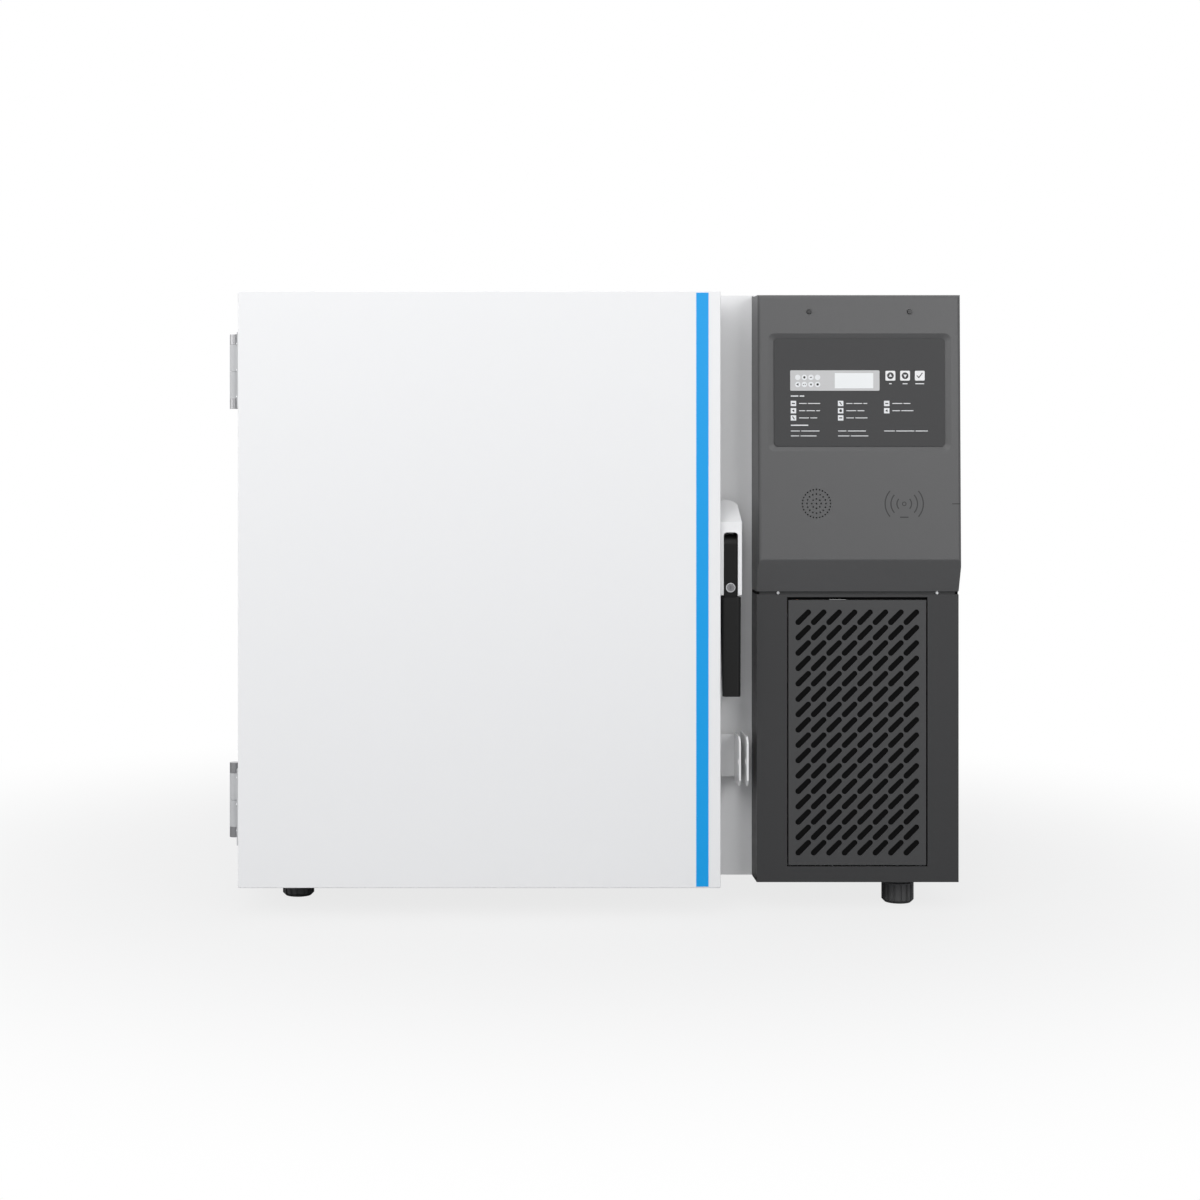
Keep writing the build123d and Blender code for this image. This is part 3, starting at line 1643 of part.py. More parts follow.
for builder, name in (
    (outer_shell, "outer_shell"),
    (cabinet_foam, "cabinet_foam"),
    (inner_liner, "inner_liner"),
    (breaker_frame, "breaker_frame"),
    (evaporator_coil, "evaporator_coil"),
    (shelves, "shelves"),
    (access_port, "access_port"),
    (port_stopper, "port_stopper"),
    (base_pan, "base_pan"),
    (rear_spacers, "rear_spacers"),
    (hinge_cabinet_leaves, "hinge_cabinet_leaves"),
    (hinge_door_leaves, "hinge_door_leaves"),
    (hinge_pins, "hinge_pins"),
    (door_skin, "door_skin"),
    (door_liner, "door_liner"),
    (door_foam, "door_foam"),
    (door_gasket, "door_gasket"),
    (door_stripe, "door_stripe"),
    (handle_housing, "handle_housing"),
    (lever_pin, "lever_pin"),
    (handle_lever, "handle_lever"),
    (lock_ring, "lock_ring"),
    (lock_cylinder, "lock_cylinder"),
    (latch_hook, "latch_hook"),
    (latch_keeper, "latch_keeper"),
    (hasp_door, "hasp_door"),
    (hasp_cabinet, "hasp_cabinet"),
    (front_frame, "front_frame"),
    (grille_panel, "grille_panel"),
    (air_filter, "air_filter"),
    (control_hood, "control_hood"),
    (membrane_panel, "membrane_panel"),
    (display_window, "display_window"),
    (hood_screws, "hood_screws"),
    (lower_screws, "lower_screws"),
    (speaker, "speaker"),
    (control_boards, "control_boards"),
    (usb_port, "usb_port"),
    (side_cover, "side_cover"),
    (rear_cover, "rear_cover"),
    (power_inlet, "power_inlet"),
    (switch_body, "switch_body"),
    (switch_rocker, "switch_rocker"),
    (condenser, "condenser"),
    (fan_shroud, "fan_shroud"),
    (fan_motor, "fan_motor"),
    (fan_blade, "fan_blade"),
    (compressors, "compressors"),
    (compressor_mounts, "compressor_mounts"),
    (cascade_exchanger, "cascade_exchanger"),
    (refrigerant_pipes, "refrigerant_pipes"),
    (component_shelf, "component_shelf"),
    (backup_battery, "backup_battery"),
):
    save(builder, name)
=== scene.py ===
from math import atan, cos, pi, radians, sin

import bmesh
import bpy
from mathutils import Matrix, Vector


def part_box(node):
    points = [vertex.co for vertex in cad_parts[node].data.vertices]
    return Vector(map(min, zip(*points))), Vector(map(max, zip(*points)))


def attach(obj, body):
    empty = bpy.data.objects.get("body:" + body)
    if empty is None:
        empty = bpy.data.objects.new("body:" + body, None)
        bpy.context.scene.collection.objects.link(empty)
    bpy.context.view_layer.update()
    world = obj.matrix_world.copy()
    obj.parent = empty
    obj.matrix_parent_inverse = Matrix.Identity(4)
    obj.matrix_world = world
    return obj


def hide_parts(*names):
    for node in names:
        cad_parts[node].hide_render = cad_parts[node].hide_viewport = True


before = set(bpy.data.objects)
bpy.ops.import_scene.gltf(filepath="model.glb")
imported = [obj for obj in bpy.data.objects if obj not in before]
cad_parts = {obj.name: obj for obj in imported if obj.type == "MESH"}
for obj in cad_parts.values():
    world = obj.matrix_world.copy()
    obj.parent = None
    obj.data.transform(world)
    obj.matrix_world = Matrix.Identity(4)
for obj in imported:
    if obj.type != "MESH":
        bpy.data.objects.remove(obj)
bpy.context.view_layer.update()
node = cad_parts

# Camera
# The photograph is taken from the front, level with the lever, with the middle of the
# lens left of the machine's middle; the shift frames it as the photograph does.
photo_side = 1200
lens_pixels = 2216
lens_centre = (460, 440)
sensor_width = 36
camera_place = (-0.176, -3.261, 0.625)
camera_data = bpy.data.cameras.new("camera")
camera_data.sensor_width = sensor_width
camera_data.lens = sensor_width * lens_pixels / photo_side
camera_data.shift_x = (photo_side / 2 - lens_centre[0]) / photo_side
camera_data.shift_y = (lens_centre[1] - photo_side / 2) / photo_side
camera_data.clip_end = 40
camera = bpy.data.objects.new("camera", camera_data)
camera.location = camera_place
camera.rotation_euler = (pi / 2, 0, 0)
bpy.context.scene.collection.objects.link(camera)
bpy.context.scene.camera = camera

# Studio
# The room is white to the eye and dimmer as a light; five wide soft lamps stand in front,
# at both sides, above and behind. Each has a place, an aim, a size and a power.
white = (1, 1, 1, 1)
room_tint = (0.93, 0.95, 1, 1)
room_strength = 0.42
bpy.context.scene.view_settings.view_transform = "Standard"
world = bpy.data.worlds.new("studio")
bpy.context.scene.world = world
world.use_nodes = True
links = world.node_tree.links
air = world.node_tree.nodes
backdrop = air["Background"]
backdrop.inputs["Color"].default_value = white
backdrop.inputs["Strength"].default_value = 1
room = air.new("ShaderNodeBackground")
room.inputs["Color"].default_value = room_tint
room.inputs["Strength"].default_value = room_strength
ray = air.new("ShaderNodeLightPath")
seen = air.new("ShaderNodeMath")
seen.operation = "MAXIMUM"
mirrored = air.new("ShaderNodeMath")
mirrored.operation = "MAXIMUM"
mixed = air.new("ShaderNodeMixShader")
links.new(ray.outputs["Is Camera Ray"], seen.inputs[0])
links.new(ray.outputs["Is Transmission Ray"], seen.inputs[1])
links.new(seen.outputs[0], mirrored.inputs[0])
links.new(ray.outputs["Is Glossy Ray"], mirrored.inputs[1])
links.new(mirrored.outputs[0], mixed.inputs[0])
links.new(room.outputs[0], mixed.inputs[1])
links.new(backdrop.outputs[0], mixed.inputs[2])
links.new(mixed.outputs[0], air["World Output"].inputs["Surface"])

lamps = (
    ("lamp_front", (-1.3, -3.2, 2.6), (0.0, 0.0, 0.5), 2.6, 68),
    ("lamp_left", (-3.2, -1.2, 1.6), (0.0, 0.0, 0.4), 2.2, 22),
    ("lamp_right", (1.7, -3.4, 1.3), (0.2, -0.3, 0.4), 1.4, 26),
    ("lamp_top", (0.2, -0.9, 3.2), (0.2, -0.2, 0.6), 1.6, 8),
    ("lamp_back", (0.6, 2.8, 2.4), (0.0, 0.0, 0.5), 2.4, 13),
)
for name, place, target, size, power in lamps:
    lamp_data = bpy.data.lights.new(name, "AREA")
    lamp_data.size = size
    lamp_data.energy = power
    lamp = bpy.data.objects.new(name, lamp_data)
    lamp.location = place
    aim = Vector(target) - Vector(place)
    lamp.rotation_euler = aim.to_track_quat("-Z", "Y").to_euler()
    bpy.context.scene.collection.objects.link(lamp)

# Floor
# A plain matt sweep that takes the soft shadow near the machine and fades into the white
# of the room further out.
floor_half = 14
floor_grey = (0.4, 0.4, 0.4, 1)
floor_roughness = 0.9
fade_start = 0.45
fade_end = 1.5
fade_least = 0.8
floor_shape = bmesh.new()
bmesh.ops.create_grid(floor_shape, x_segments=1, y_segments=1, size=floor_half)
floor_mesh = bpy.data.meshes.new("floor")
floor_shape.to_mesh(floor_mesh)
floor = bpy.data.objects.new("floor", floor_mesh)
bpy.context.scene.collection.objects.link(floor)
floor_paint = bpy.data.materials.new("floor_paint")
floor_paint.use_nodes = True
floor_nodes = floor_paint.node_tree.nodes
floor_links = floor_paint.node_tree.links
floor_shader = floor_nodes["Principled BSDF"]
floor_shader.inputs["Base Color"].default_value = floor_grey
floor_shader.inputs["Roughness"].default_value = floor_roughness
floor_shader.inputs["Specular IOR Level"].default_value = 0
sweep = floor_nodes.new("ShaderNodeEmission")
floor_place = floor_nodes.new("ShaderNodeTexCoord")
floor_reach = floor_nodes.new("ShaderNodeVectorMath")
floor_reach.operation = "LENGTH"
fading = floor_nodes.new("ShaderNodeMapRange")
fading.interpolation_type = "SMOOTHSTEP"
fading.inputs["From Min"].default_value = fade_start
fading.inputs["From Max"].default_value = fade_end
fading.inputs["To Min"].default_value = fade_least
floor_ray = floor_nodes.new("ShaderNodeLightPath")
sweep_share = floor_nodes.new("ShaderNodeMath")
sweep_share.operation = "MULTIPLY"
floor_mix = floor_nodes.new("ShaderNodeMixShader")
floor_links.new(floor_place.outputs["Object"], floor_reach.inputs[0])
floor_links.new(floor_reach.outputs["Value"], fading.inputs["Value"])
floor_links.new(fading.outputs["Result"], sweep_share.inputs[0])
floor_links.new(floor_ray.outputs["Is Camera Ray"], sweep_share.inputs[1])
floor_links.new(sweep_share.outputs["Value"], floor_mix.inputs["Fac"])
floor_links.new(floor_shader.outputs["BSDF"], floor_mix.inputs[1])
floor_links.new(sweep.outputs["Emission"], floor_mix.inputs[2])
floor_links.new(floor_mix.outputs["Shader"], floor_nodes["Material Output"].inputs["Surface"])
floor_mesh.materials.append(floor_paint)

# Cabinet shell
# The wrapper is folded from zinc-plated sheet and powder coated white; the coat has a very
# fine orange peel and a soft gloss.


def finish(name, colour, roughness, metallic=0.0, **more):
    """A material with its constants on the shader's own sockets."""
    material = bpy.data.materials.new(name)
    material.use_nodes = True
    shader = material.node_tree.nodes["Principled BSDF"]
    shader.inputs["Base Color"].default_value = (*colour, 1)
    shader.inputs["Roughness"].default_value = roughness
    shader.inputs["Metallic"].default_value = metallic
    for socket, value in more.items():
        shader.inputs[socket.replace("_", " ")].default_value = value
    return material


def add_grain(material, size, height, stretch=(1, 1, 1), detail=2):
    """A bump of noise on the surface; size is the grain in metres."""
    tree = material.node_tree
    place = tree.nodes.new("ShaderNodeTexCoord")
    turned = tree.nodes.new("ShaderNodeMapping")
    turned.inputs["Scale"].default_value = stretch
    noise = tree.nodes.new("ShaderNodeTexNoise")
    noise.inputs["Scale"].default_value = 1 / size
    noise.inputs["Detail"].default_value = detail
    bump = tree.nodes.new("ShaderNodeBump")
    bump.inputs["Strength"].default_value = 1
    bump.inputs["Distance"].default_value = height
    tree.links.new(place.outputs["Object"], turned.inputs["Vector"])
    tree.links.new(turned.outputs["Vector"], noise.inputs["Vector"])
    tree.links.new(noise.outputs["Fac"], bump.inputs["Height"])
    tree.links.new(bump.outputs["Normal"], tree.nodes["Principled BSDF"].inputs["Normal"])
    return material


def dress(material, *names):
    """Gives CAD nodes a material."""
    for name in names:
        mesh = node[name].data
        mesh.materials.clear()
        mesh.materials.append(material)


white_coat = add_grain(finish("white_coat", (0.90, 0.90, 0.90), 0.38), 0.0022, 0.00002)
dress(white_coat, "outer_shell")

# Chamber
# Rigid foam is poured between the shell and a liner of brushed stainless sheet; a moulded
# frame closes the joint round the throat, and slotted shelves hang on ledges.
foam = add_grain(finish("foam", (0.83, 0.74, 0.50), 0.95), 0.004, 0.0004)
dress(foam, "cabinet_foam", "door_foam", "cascade_exchanger")
stainless = add_grain(
    finish("stainless", (0.62, 0.63, 0.64), 0.34, 1.0), 0.004, 0.000012, (0.02, 0.02, 1), 4
)
dress(stainless, "inner_liner", "shelves")
pale_moulding = add_grain(finish("pale_moulding", (0.80, 0.81, 0.81), 0.42), 0.003, 0.00003)
dress(pale_moulding, "breaker_frame", "door_liner", "access_port")
copper = finish("copper", (0.80, 0.42, 0.28), 0.32, 1.0)
dress(copper, "evaporator_coil", "refrigerant_pipes")
black_rubber = add_grain(finish("black_rubber", (0.025, 0.025, 0.027), 0.62), 0.0015, 0.00005)
dress(black_rubber, "port_stopper", "compressor_mounts")

# Base and feet
# The pan is folded galvanised sheet; the feet are dark grey moulded pads on threaded stems
# and the bumpers at the back are black rubber.
zinc = add_grain(finish("zinc", (0.55, 0.57, 0.60), 0.45, 1.0), 0.02, 0.00003)
dress(zinc, "base_pan", "fan_shroud", "component_shelf", "rear_cover")
dress(black_rubber, "rear_spacers")
foot_moulding = add_grain(finish("foot_moulding", (0.085, 0.085, 0.086), 0.5), 0.0012, 0.00004)
dress(
    foot_moulding,
    "foot_front_left",
    "foot_front_right",
    "foot_rear_left",
    "foot_rear_right",
)

# Hinges
# Two lift-off hinges of pressed steel, coated like the door, with their leaves screwed to
# the left sides of the door and of the cabinet.
hinge_coat = finish("hinge_coat", (0.58, 0.585, 0.59), 0.34)
dress(hinge_coat, "hinge_cabinet_leaves", "hinge_door_leaves")
hinge_steel = finish("hinge_steel", (0.42, 0.42, 0.43), 0.3, 1.0)
dress(hinge_steel, "hinge_pins")

# Door
# A folded pan in the same white coat, filled with foam and closed by a moulded panel with
# a soft seal; a glossy cyan tape runs down its opening edge.
dress(white_coat, "door_skin")
seal_rubber = finish("seal_rubber", (0.60, 0.61, 0.61), 0.6)
dress(seal_rubber, "door_gasket")
cyan_tape = finish("cyan_tape", (0.0, 0.36, 0.84), 0.28)
dress(cyan_tape, "door_stripe")

# Handle
# A white moulded housing on the door's edge carries a black lever on a steel pin, with
# a plated lock in the lever's arm.
housing_white = add_grain(finish("housing_white", (0.90, 0.90, 0.90), 0.4), 0.0012, 0.00002)
dress(housing_white, "handle_housing")
lever_black = finish("lever_black", (0.003, 0.003, 0.003), 0.42, Specular_IOR_Level=0.22)
dress(lever_black, "handle_lever")
plated = finish("plated", (0.82, 0.83, 0.84), 0.2, 1.0)
dress(plated, "lock_ring", "lever_pin", "lower_screws", "usb_port")
barrel_metal = finish("barrel_metal", (0.24, 0.24, 0.25), 0.35, 1.0)
dress(barrel_metal, "lock_cylinder")

# Latch and hasp
# The hook, the keeper and the two padlock ears are plates of coated steel.
dress(zinc, "latch_hook", "latch_keeper")
ear_coat = finish("ear_coat", (0.84, 0.84, 0.84), 0.36)
dress(ear_coat, "hasp_door", "hasp_cabinet")

# Machine front
# A folded frame of dark grey coated sheet stands round the tipping panel, with a dark filter mat
# held behind the panel's slots; the mat is made near black as painted shade for the depth behind
# the slots.
frame_coat = add_grain(
    finish("frame_coat", (0.036, 0.036, 0.037), 0.46, Specular_IOR_Level=0.35), 0.0016, 0.00005
)
dress(frame_coat, "front_frame")
filter_mat = add_grain(
    finish("filter_mat", (0.004, 0.004, 0.004), 0.95, Specular_IOR_Level=0.1), 0.0012, 0.0006
)
dress(filter_mat, "air_filter")

# Slotted panel
# One thin sheet punched with slanted round-ended slots, folded back at its four edges and
# coated dark grey; it hooks on two studs at its foot and takes the solid panel's place.
panel_coat = add_grain(
    finish("panel_coat", (0.056, 0.056, 0.057), 0.42, Specular_IOR_Level=0.35), 0.0016, 0.00005
)


def make_piece(name, shape, material, body):
    """A finished bmesh as an object that rides on a body."""
    mesh = bpy.data.meshes.new(name)
    shape.to_mesh(mesh)
    shape.free()
    mesh.materials.append(material)
    made = bpy.data.objects.new(name, mesh)
    bpy.context.scene.collection.objects.link(made)
    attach(made, body)
    return made


panel_low, panel_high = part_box("grille_panel")
panel_width = 0.1826
panel_middle = (panel_low.x + panel_high.x) / 2
panel_centre_z = (panel_low.z + panel_high.z) / 2
panel_height = panel_high.z - panel_low.z
panel_sheet = 0.0015
panel_fold = 0.0105
slot_radius = 0.0039
slot_half_run = 0.0093
slot_columns = 8
slot_rows = 16
slot_pitch = (0.0205, 0.0204)
edge_margin = 0.0001
panel_shape = bmesh.new()
bmesh.ops.create_grid(panel_shape, x_segments=1, y_segments=1, size=0.5)
bmesh.ops.scale(panel_shape, vec=(panel_width, panel_height, 1), verts=panel_shape.verts)
bmesh.ops.delete(panel_shape, geom=panel_shape.faces[:], context="FACES_ONLY")
for column in range(slot_columns):
    for row in range(slot_rows):
        ring = bmesh.ops.create_circle(panel_shape, segments=16, radius=slot_radius)["verts"]
        for corner in ring:
            corner.co.x += slot_half_run if corner.co.x > 0 else -slot_half_run
        bmesh.ops.rotate(
            panel_shape, cent=(0, 0, 0), matrix=Matrix.Rotation(pi / 4, 3, "Z"), verts=ring
        )
        bmesh.ops.translate(
            panel_shape,
            vec=(
                (column - (slot_columns - 1) / 2) * slot_pitch[0],
                (row - (slot_rows - 1) / 2) * slot_pitch[1],
                0,
            ),
            verts=ring,
        )
bmesh.ops.triangle_fill(
    panel_shape, use_beauty=True, use_dissolve=False, edges=panel_shape.edges[:]
)
bmesh.ops.recalc_face_normals(panel_shape, faces=panel_shape.faces)
rim = [
    edge
    for edge in panel_shape.edges
    if edge.is_boundary
    and (
        min(abs(v.co.x) for v in edge.verts) > panel_width / 2 - edge_margin
        or min(abs(v.co.y) for v in edge.verts) > panel_height / 2 - edge_margin
    )
]
fold = bmesh.ops.extrude_edge_only(panel_shape, edges=rim)["geom"]
bmesh.ops.translate(
    panel_shape,
    vec=(0, 0, -panel_fold),
    verts=[g for g in fold if isinstance(g, bmesh.types.BMVert)],
)
bmesh.ops.recalc_face_normals(panel_shape, faces=panel_shape.faces)
bmesh.ops.transform(
    panel_shape,
    matrix=Matrix.Translation((panel_middle, panel_low.y, panel_centre_z))
    @ Matrix.Rotation(pi / 2, 4, "X"),
    verts=panel_shape.verts,
)
slotted_panel = make_piece("slotted_panel", panel_shape, panel_coat, "grille")
sheet_metal = slotted_panel.modifiers.new("sheet", "SOLIDIFY")
sheet_metal.thickness = panel_sheet
sheet_metal.offset = -1
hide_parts("grille_panel")

# Hinge screws
# Each leaf is held by three cross-slotted pan head screws of zinc-plated steel; the cross slots
# are thin black bars laid on the heads, painted shade for the recesses.
leaf_low, leaf_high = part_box("hinge_cabinet_leaves")
leaf_sheet = 0.003
leaf_face = leaf_high.x - leaf_sheet
hinge_height = 0.100
screw_inset = 0.022
screw_radius = 0.0048
screw_crown = screw_radius * 0.72
screw_height = 0.0022
screw_levels = (0.015, 0.050, 0.085)
screw_cross = (0.0052, 0.0009, 0.0003)
screw_rows = (
    ("cabinet", leaf_high.y - screw_inset),
    ("outer_door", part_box("hinge_door_leaves")[0].y + screw_inset),
)
for body, along in screw_rows:
    heads = bmesh.new()
    slot_shade = bmesh.new()
    for hinge_low in (leaf_low.z, leaf_high.z - hinge_height):
        for level in screw_levels:
            place = Matrix.Translation((leaf_face, along, hinge_low + level)) @ Matrix.Rotation(
                -pi / 2, 4, "Y"
            )
            head = bmesh.ops.create_cone(
                heads,
                cap_ends=True,
                segments=24,
                radius1=screw_radius,
                radius2=screw_crown,
                depth=screw_height,
            )["verts"]
            bmesh.ops.translate(heads, vec=(0, 0, screw_height / 2), verts=head)
            bmesh.ops.transform(heads, matrix=place, verts=head)
            # The cross is two thin black bars on the crown: painted shade standing for the
            # recess.
            for turn in (pi / 4, 3 * pi / 4):
                cross = bmesh.ops.create_cube(slot_shade, size=1)["verts"]
                bmesh.ops.scale(slot_shade, vec=screw_cross, verts=cross)
                bmesh.ops.rotate(
                    slot_shade, cent=(0, 0, 0), matrix=Matrix.Rotation(turn, 3, "Z"), verts=cross
                )
                bmesh.ops.translate(slot_shade, vec=(0, 0, screw_height), verts=cross)
                bmesh.ops.transform(slot_shade, matrix=place, verts=cross)
    make_piece("hinge_screws_" + body, heads, plated, body)
    make_piece("hinge_screw_slot_shade_" + body, slot_shade, lever_black, body)

# Painted gap shade
# Near-black strips set beside the neck under the hood and above the tipping panel are painted
# shade for these gaps, so that they read dark and nothing behind them shows through.
gap_shade_black = finish("gap_shade_black", (0.004, 0.004, 0.004), 0.95, Specular_IOR_Level=0.05)
frame_low, frame_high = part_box("front_frame")
shade_clearance = 0.0002
neck_inset = 0.004
seam_height = 0.004
panel_top_gap = 0.004
panel_shade_gap = 0.0006
panel_shade_depths = (0.0045, 0.0105)
seam_top = frame_high.z - shade_clearance
seam_bottom = frame_high.z - seam_height + shade_clearance
gap_shade_blocks = (
    (
        "hood_gap_shade_left",
        (frame_low.x + shade_clearance, frame_low.y + neck_inset, seam_bottom),
        (frame_low.x + neck_inset - shade_clearance, frame_high.y - shade_clearance, seam_top),
    ),
    (
        "hood_gap_shade_right",
        (frame_high.x - neck_inset + shade_clearance, frame_low.y + neck_inset, seam_bottom),
        (frame_high.x - shade_clearance, frame_high.y - shade_clearance, seam_top),
    ),
    (
        "panel_gap_shade",
        (panel_low.x, frame_low.y + panel_shade_depths[0], panel_high.z + panel_shade_gap),
        (
            panel_high.x,
            frame_low.y + panel_shade_depths[1],
            panel_high.z + panel_top_gap - shade_clearance,
        ),
    ),
)
# Each block is a near-black strip of painted shade set behind a gap.
for name, low, high in gap_shade_blocks:
    gap_shade_shape = bmesh.new()
    made = bmesh.ops.create_cube(gap_shade_shape, size=1)["verts"]
    bmesh.ops.scale(gap_shade_shape, vec=[top - bottom for bottom, top in zip(low, high)], verts=made)
    bmesh.ops.translate(
        gap_shade_shape, vec=[(top + bottom) / 2 for bottom, top in zip(low, high)], verts=made
    )
    make_piece(name, gap_shade_shape, gap_shade_black, "cabinet")

# Control hood
# A moulded hood in dark grey plastic with a fine leather grain; its slanted recess holds
# a printed sheet with a display window and three keys.
hood_plastic = add_grain(finish("hood_plastic", (0.088, 0.088, 0.089), 0.42), 0.0011, 0.00009)
dress(hood_plastic, "control_hood")
printed_sheet = finish("printed_sheet", (0.048, 0.048, 0.049), 0.5, Specular_IOR_Level=0.3)
dress(printed_sheet, "membrane_panel")
window_grey = finish("window_grey", (0.56, 0.56, 0.56), 0.3)
dress(window_grey, "display_window")
key_white = finish("key_white", (0.86, 0.86, 0.86), 0.36)
dress(key_white, "key_up", "key_down", "key_confirm")
screw_black = finish("screw_black", (0.010, 0.010, 0.011), 0.3)
dress(screw_black, "hood_screws", "speaker")
board_green = finish("board_green", (0.03, 0.20, 0.07), 0.4)
dress(board_green, "control_boards")

# Prints on the display window
# A pale display field and eight round icons in two rows, printed on the window. Marks are
# measured right and down from the middle of the top edge of the hood's leaning face.
face_lean = 8
face_height = 350.3
face_top = (0.352, -0.330, 0.817)
hood_tilt = atan(face_lean / face_height)
hood_face = Matrix(
    (
        (1, 0, 0, face_top[0]),
        (0, sin(hood_tilt), -cos(hood_tilt), face_top[1]),
        (0, cos(hood_tilt), sin(hood_tilt), face_top[2]),
        (0, 0, 0, 1),
    )
)
print_film = 0.00004
ink_white = finish("ink_white", (0.80, 0.81, 0.82), 0.4)
ink_black = finish("ink_black", (0.012, 0.012, 0.013), 0.4)


def disc(shape, right, down, radius, sides=24, turn=0.0):
    """A flat disc or regular polygon on the hood's face; right and down in millimetres."""
    ring = bmesh.ops.create_circle(shape, cap_ends=True, segments=sides, radius=radius / 1000)
    bmesh.ops.rotate(
        shape, cent=(0, 0, 0), matrix=Matrix.Rotation(turn, 3, "Z"), verts=ring["verts"]
    )
    bmesh.ops.translate(shape, vec=(right / 1000, -down / 1000, 0), verts=ring["verts"])


def bar(shape, right, down, width, height, turn=0.0):
    """A flat bar on the hood's face, in millimetres."""
    made = bmesh.ops.create_grid(shape, x_segments=1, y_segments=1, size=0.0005)["verts"]
    bmesh.ops.scale(shape, vec=(width, height, 1), verts=made)
    bmesh.ops.rotate(shape, cent=(0, 0, 0), matrix=Matrix.Rotation(turn, 3, "Z"), verts=made)
    bmesh.ops.translate(shape, vec=(right / 1000, -down / 1000, 0), verts=made)


def print_on_hood(name, shape, level, material, body):
    """Gives flat marks a film's thickness and lays them at a level of the hood's face."""
    bmesh.ops.recalc_face_normals(shape, faces=shape.faces)
    film = bmesh.ops.extrude_face_region(shape, geom=shape.faces[:])["geom"]
    bmesh.ops.translate(
        shape,
        vec=(0, 0, print_film),
        verts=[g for g in film if isinstance(g, bmesh.types.BMVert)],
    )
    bmesh.ops.recalc_face_normals(shape, faces=shape.faces)
    bmesh.ops.translate(shape, vec=(0, 0, level), verts=shape.verts)
    bmesh.ops.transform(shape, matrix=hood_face, verts=shape.verts)
    make_piece(name, shape, material, body)


window_level = -0.0006
display_place = (-7.2, 113.6)
display_size = (50.9, 20.1)
icon_start = (-81.6, 109.2)
icon_pitch = (8.75, 9.4)
icon_radius = 3.6
display = bmesh.new()
bar(display, *display_place, *display_size)
display_white = finish("display_white", (0.86, 0.88, 0.88), 0.3)
print_on_hood("display_field", display, window_level, display_white, "cabinet")
icons = bmesh.new()
marks = bmesh.new()
for column in range(4):
    for row in range(2):
        right = icon_start[0] + column * icon_pitch[0]
        down = icon_start[1] + row * icon_pitch[1]
        disc(icons, right, down, icon_radius)
        if (row, column) == (0, 1):
            disc(marks, right, down, 1.7, 6)
        elif (row, column) == (0, 2):
            bar(marks, right, down, 2.6, 1.2)
        elif (row, column) == (1, 0):
            disc(marks, right, down, 2.0, 3, pi / 2)
        elif (row, column) == (1, 1):
            disc(marks, right - 1.2, down, 0.7, 12)
            disc(marks, right + 1.2, down, 0.7, 12)
        elif (row, column) == (1, 2):
            disc(marks, right, down, 1.9, 3, pi)
        elif (row, column) == (1, 3):
            disc(marks, right, down, 1.6, 16)
print_on_hood("window_icons", icons, window_level, ink_white, "cabinet")
print_on_hood("window_marks", marks, window_level + print_film, ink_black, "cabinet")

# Marks on the keys
# Each key carries one printed sign: an arrow up, an arrow down and a tick.
key_level = -0.0009
key_columns = (41.0, 60.4, 79.8)
key_row = 107
ring_radius = 4.45
arrow_radius = 2.7
tick_width = 1.2
for name, right, sign in zip(("key_up", "key_down", "key_confirm"), key_columns, (1, -1, 0)):
    if sign:
        round_mark = bmesh.new()
        disc(round_mark, right, key_row, ring_radius, 32)
        print_on_hood(name + "_ring", round_mark, key_level, ink_black, name)
        arrow = bmesh.new()
        disc(arrow, right, key_row, arrow_radius, 3, 0 if sign > 0 else pi)
        print_on_hood(name + "_arrow", arrow, key_level + print_film, ink_white, name)
    else:
        tick = bmesh.new()
        bar(tick, right - 2.6, key_row + 1.2, tick_width, 4.2, radians(40))
        print_on_hood(name + "_tick_short", tick, key_level, ink_black, name)
        tick = bmesh.new()
        bar(tick, right + 0.9, key_row - 0.4, tick_width, 8.6, radians(-38))
        print_on_hood(name + "_tick_long", tick, key_level + print_film, ink_black, name)

# Legend on the printed sheet
# Small square icons in columns of three, three and two explain the window's signs; the
# words beside them, the headings and the notes below are left as plain broken dashes.
legend_level = -0.0012
column_edges = (-87.3, -24.9, 36.0)
icon_rows = (143.7, 153.3, 162.8)
icon_width = 7.2
icon_height = 7.0
text_gap = 7.5
text_start = -3.5
heading_rows = (133.9, 172.5)
heading_words = ((10, 6), (23,))
heading_stroke = 1.5
note_rows = (180.1, 186.6)
key_label_row = 117.6
key_label_widths = (3.4, 6.4, 11.5)
key_label_stroke = 1.2
word_space = 1.8
line_words = ((10, 16), (8, 11, 5), (13, 9))
note_words = (
    ((12, 24), (11, 21)),
    ((11, 24), (15, 23)),
    ((14, 24, 16),),
)
legend = bmesh.new()
icon_signs = bmesh.new()


def words(shape, left, down, lengths, height=1.0):
    """A line of dashes from a left edge, in millimetres, with a space between them."""
    for length in lengths:
        bar(shape, left + length / 2, down, length, height)
        left += length + word_space


for column, right in enumerate(column_edges):
    for row, down in enumerate(icon_rows):
        if (column, row) == (2, 2):
            continue
        bar(legend, right, down, icon_width, icon_height)
        sign = (row + 2 * column) % 4
        if sign == 0:
            bar(icon_signs, right, down, 4.2, 1.5)
        elif sign == 1:
            disc(icon_signs, right, down, 2.1, 3, pi / 2)
        elif sign == 2:
            bar(icon_signs, right, down, 1.3, 4.6, radians(35))
        else:
            disc(icon_signs, right, down, 1.9, 16)
        words(legend, right + text_gap, down, line_words[(row + column) % 3])
for down, lengths in zip(heading_rows, heading_words):
    words(legend, column_edges[0] + text_start, down, lengths, heading_stroke)
for right, notes in zip(column_edges, note_words):
    for down, lengths in zip(note_rows, notes):
        words(legend, right + text_start, down, lengths)
for right, length in zip(key_columns, key_label_widths):
    bar(legend, right, key_label_row, length, key_label_stroke)
print_on_hood("legend", legend, legend_level, ink_white, "cabinet")
print_on_hood(
    "legend_signs", icon_signs, legend_level + print_film, ink_black, "cabinet"
)

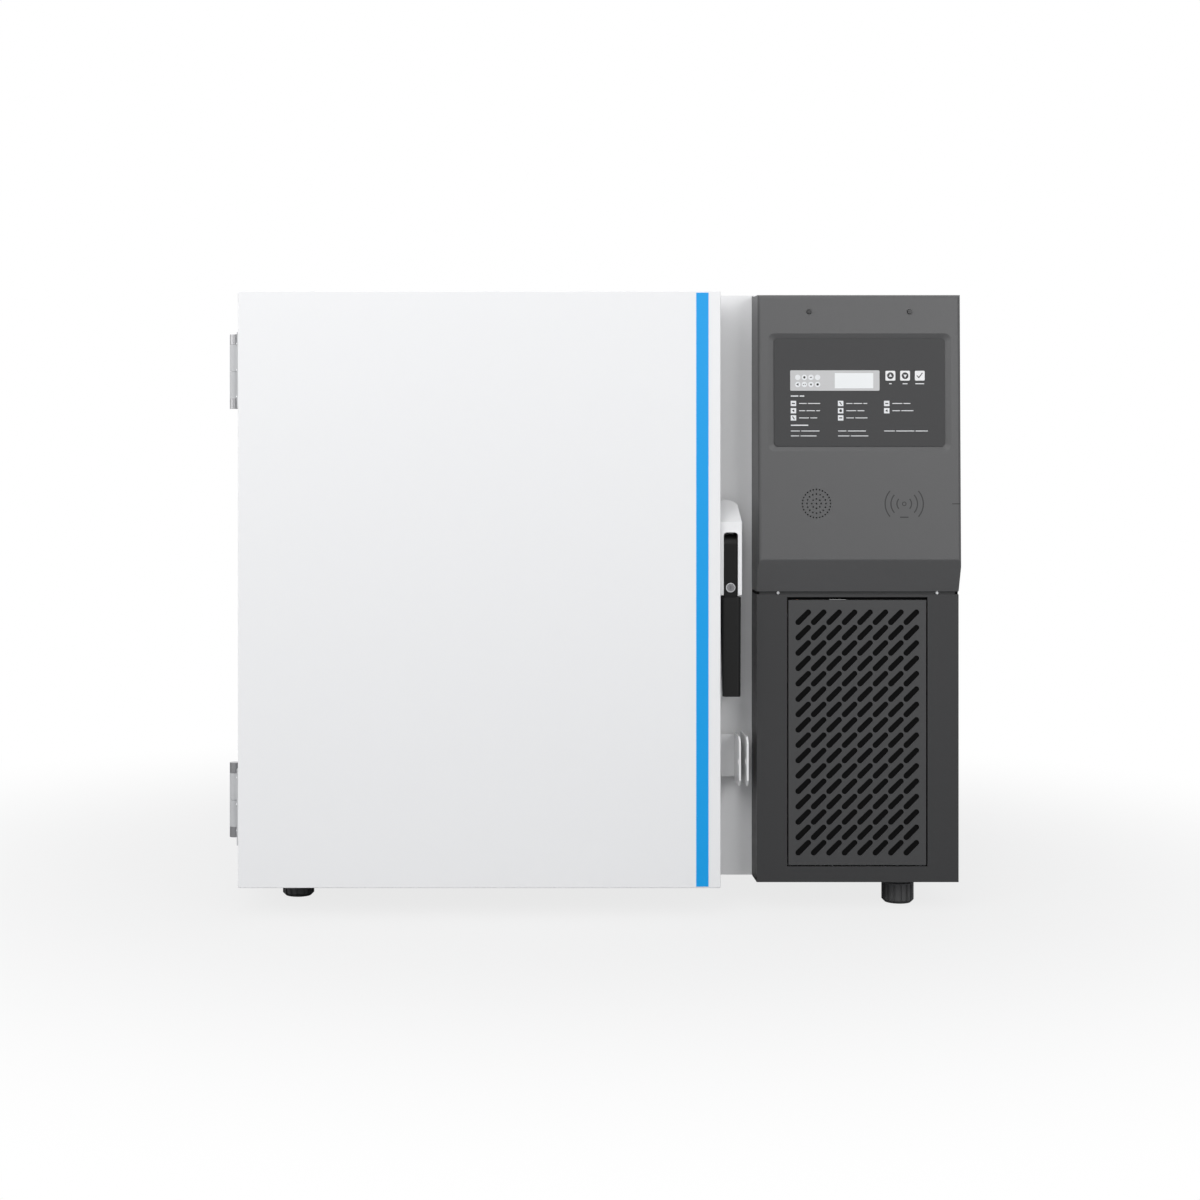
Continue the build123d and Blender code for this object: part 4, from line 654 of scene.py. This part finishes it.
# Reader mark
# Two sets of three arcs, moulded in and inked dark round a small ring, show where a card
# is held; dashes stand for the words under them and beside the data port.
reader_place = (58.3, 276.3)
arc_radii = (25.2, 17.5, 9.6)
arc_half_turn = radians(42)
arc_steps = 16
arc_stroke = 1.6
ring_stroke = 1.2
reader_ring = 2.4
word_bars = ((58.3, 294, 11, 1.6), (127, 276.3, 11, 1.1))
mark = bmesh.new()


def arc(shape, right, down, radius, stroke, start, end):
    """A flat arc strip on the hood's face, in millimetres and radians."""
    ends = [
        shape.verts.new((cos(start) * reach / 1000, sin(start) * reach / 1000, 0))
        for reach in (radius - stroke / 2, radius + stroke / 2)
    ]
    edge = shape.edges.new(ends)
    bmesh.ops.spin(
        shape,
        geom=[*ends, edge],
        cent=(0, 0, 0),
        axis=(0, 0, 1),
        angle=end - start,
        steps=arc_steps,
        use_merge=end - start > pi,
    )
    strip = set(v for f in shape.faces for v in f.verts if not v.tag)
    bmesh.ops.translate(shape, vec=(right / 1000, -down / 1000, 0), verts=list(strip))
    for v in strip:
        v.tag = True


for radius in arc_radii:
    for side in (0, pi):
        start = side - arc_half_turn
        end = side + arc_half_turn
        arc(mark, *reader_place, radius, arc_stroke, start, end)
arc(mark, *reader_place, reader_ring, ring_stroke, 0, 2 * pi)
for word_bar in word_bars:
    bar(mark, *word_bar)
mark_grey = finish("mark_grey", (0.022, 0.022, 0.023), 0.5)
print_on_hood("reader_mark", mark, 0, mark_grey, "cabinet")

# Side, top and back covers
# One white coated sheet folds over the top and right side; the back is bare zinc sheet
# with louvres and holds the mains inlet and its switch.
dress(white_coat, "side_cover")
black_moulding = finish("black_moulding", (0.02, 0.02, 0.021), 0.4)
dress(black_moulding, "power_inlet", "switch_body", "switch_rocker", "backup_battery")

# Cooling machinery
# Finned condenser, fan and two painted compressors, brazed with copper.
fin_metal = finish("fin_metal", (0.72, 0.73, 0.75), 0.4, 1.0)
dress(fin_metal, "condenser", "fan_blade")
machine_black = finish("machine_black", (0.015, 0.015, 0.016), 0.35)
dress(machine_black, "compressors", "fan_motor")
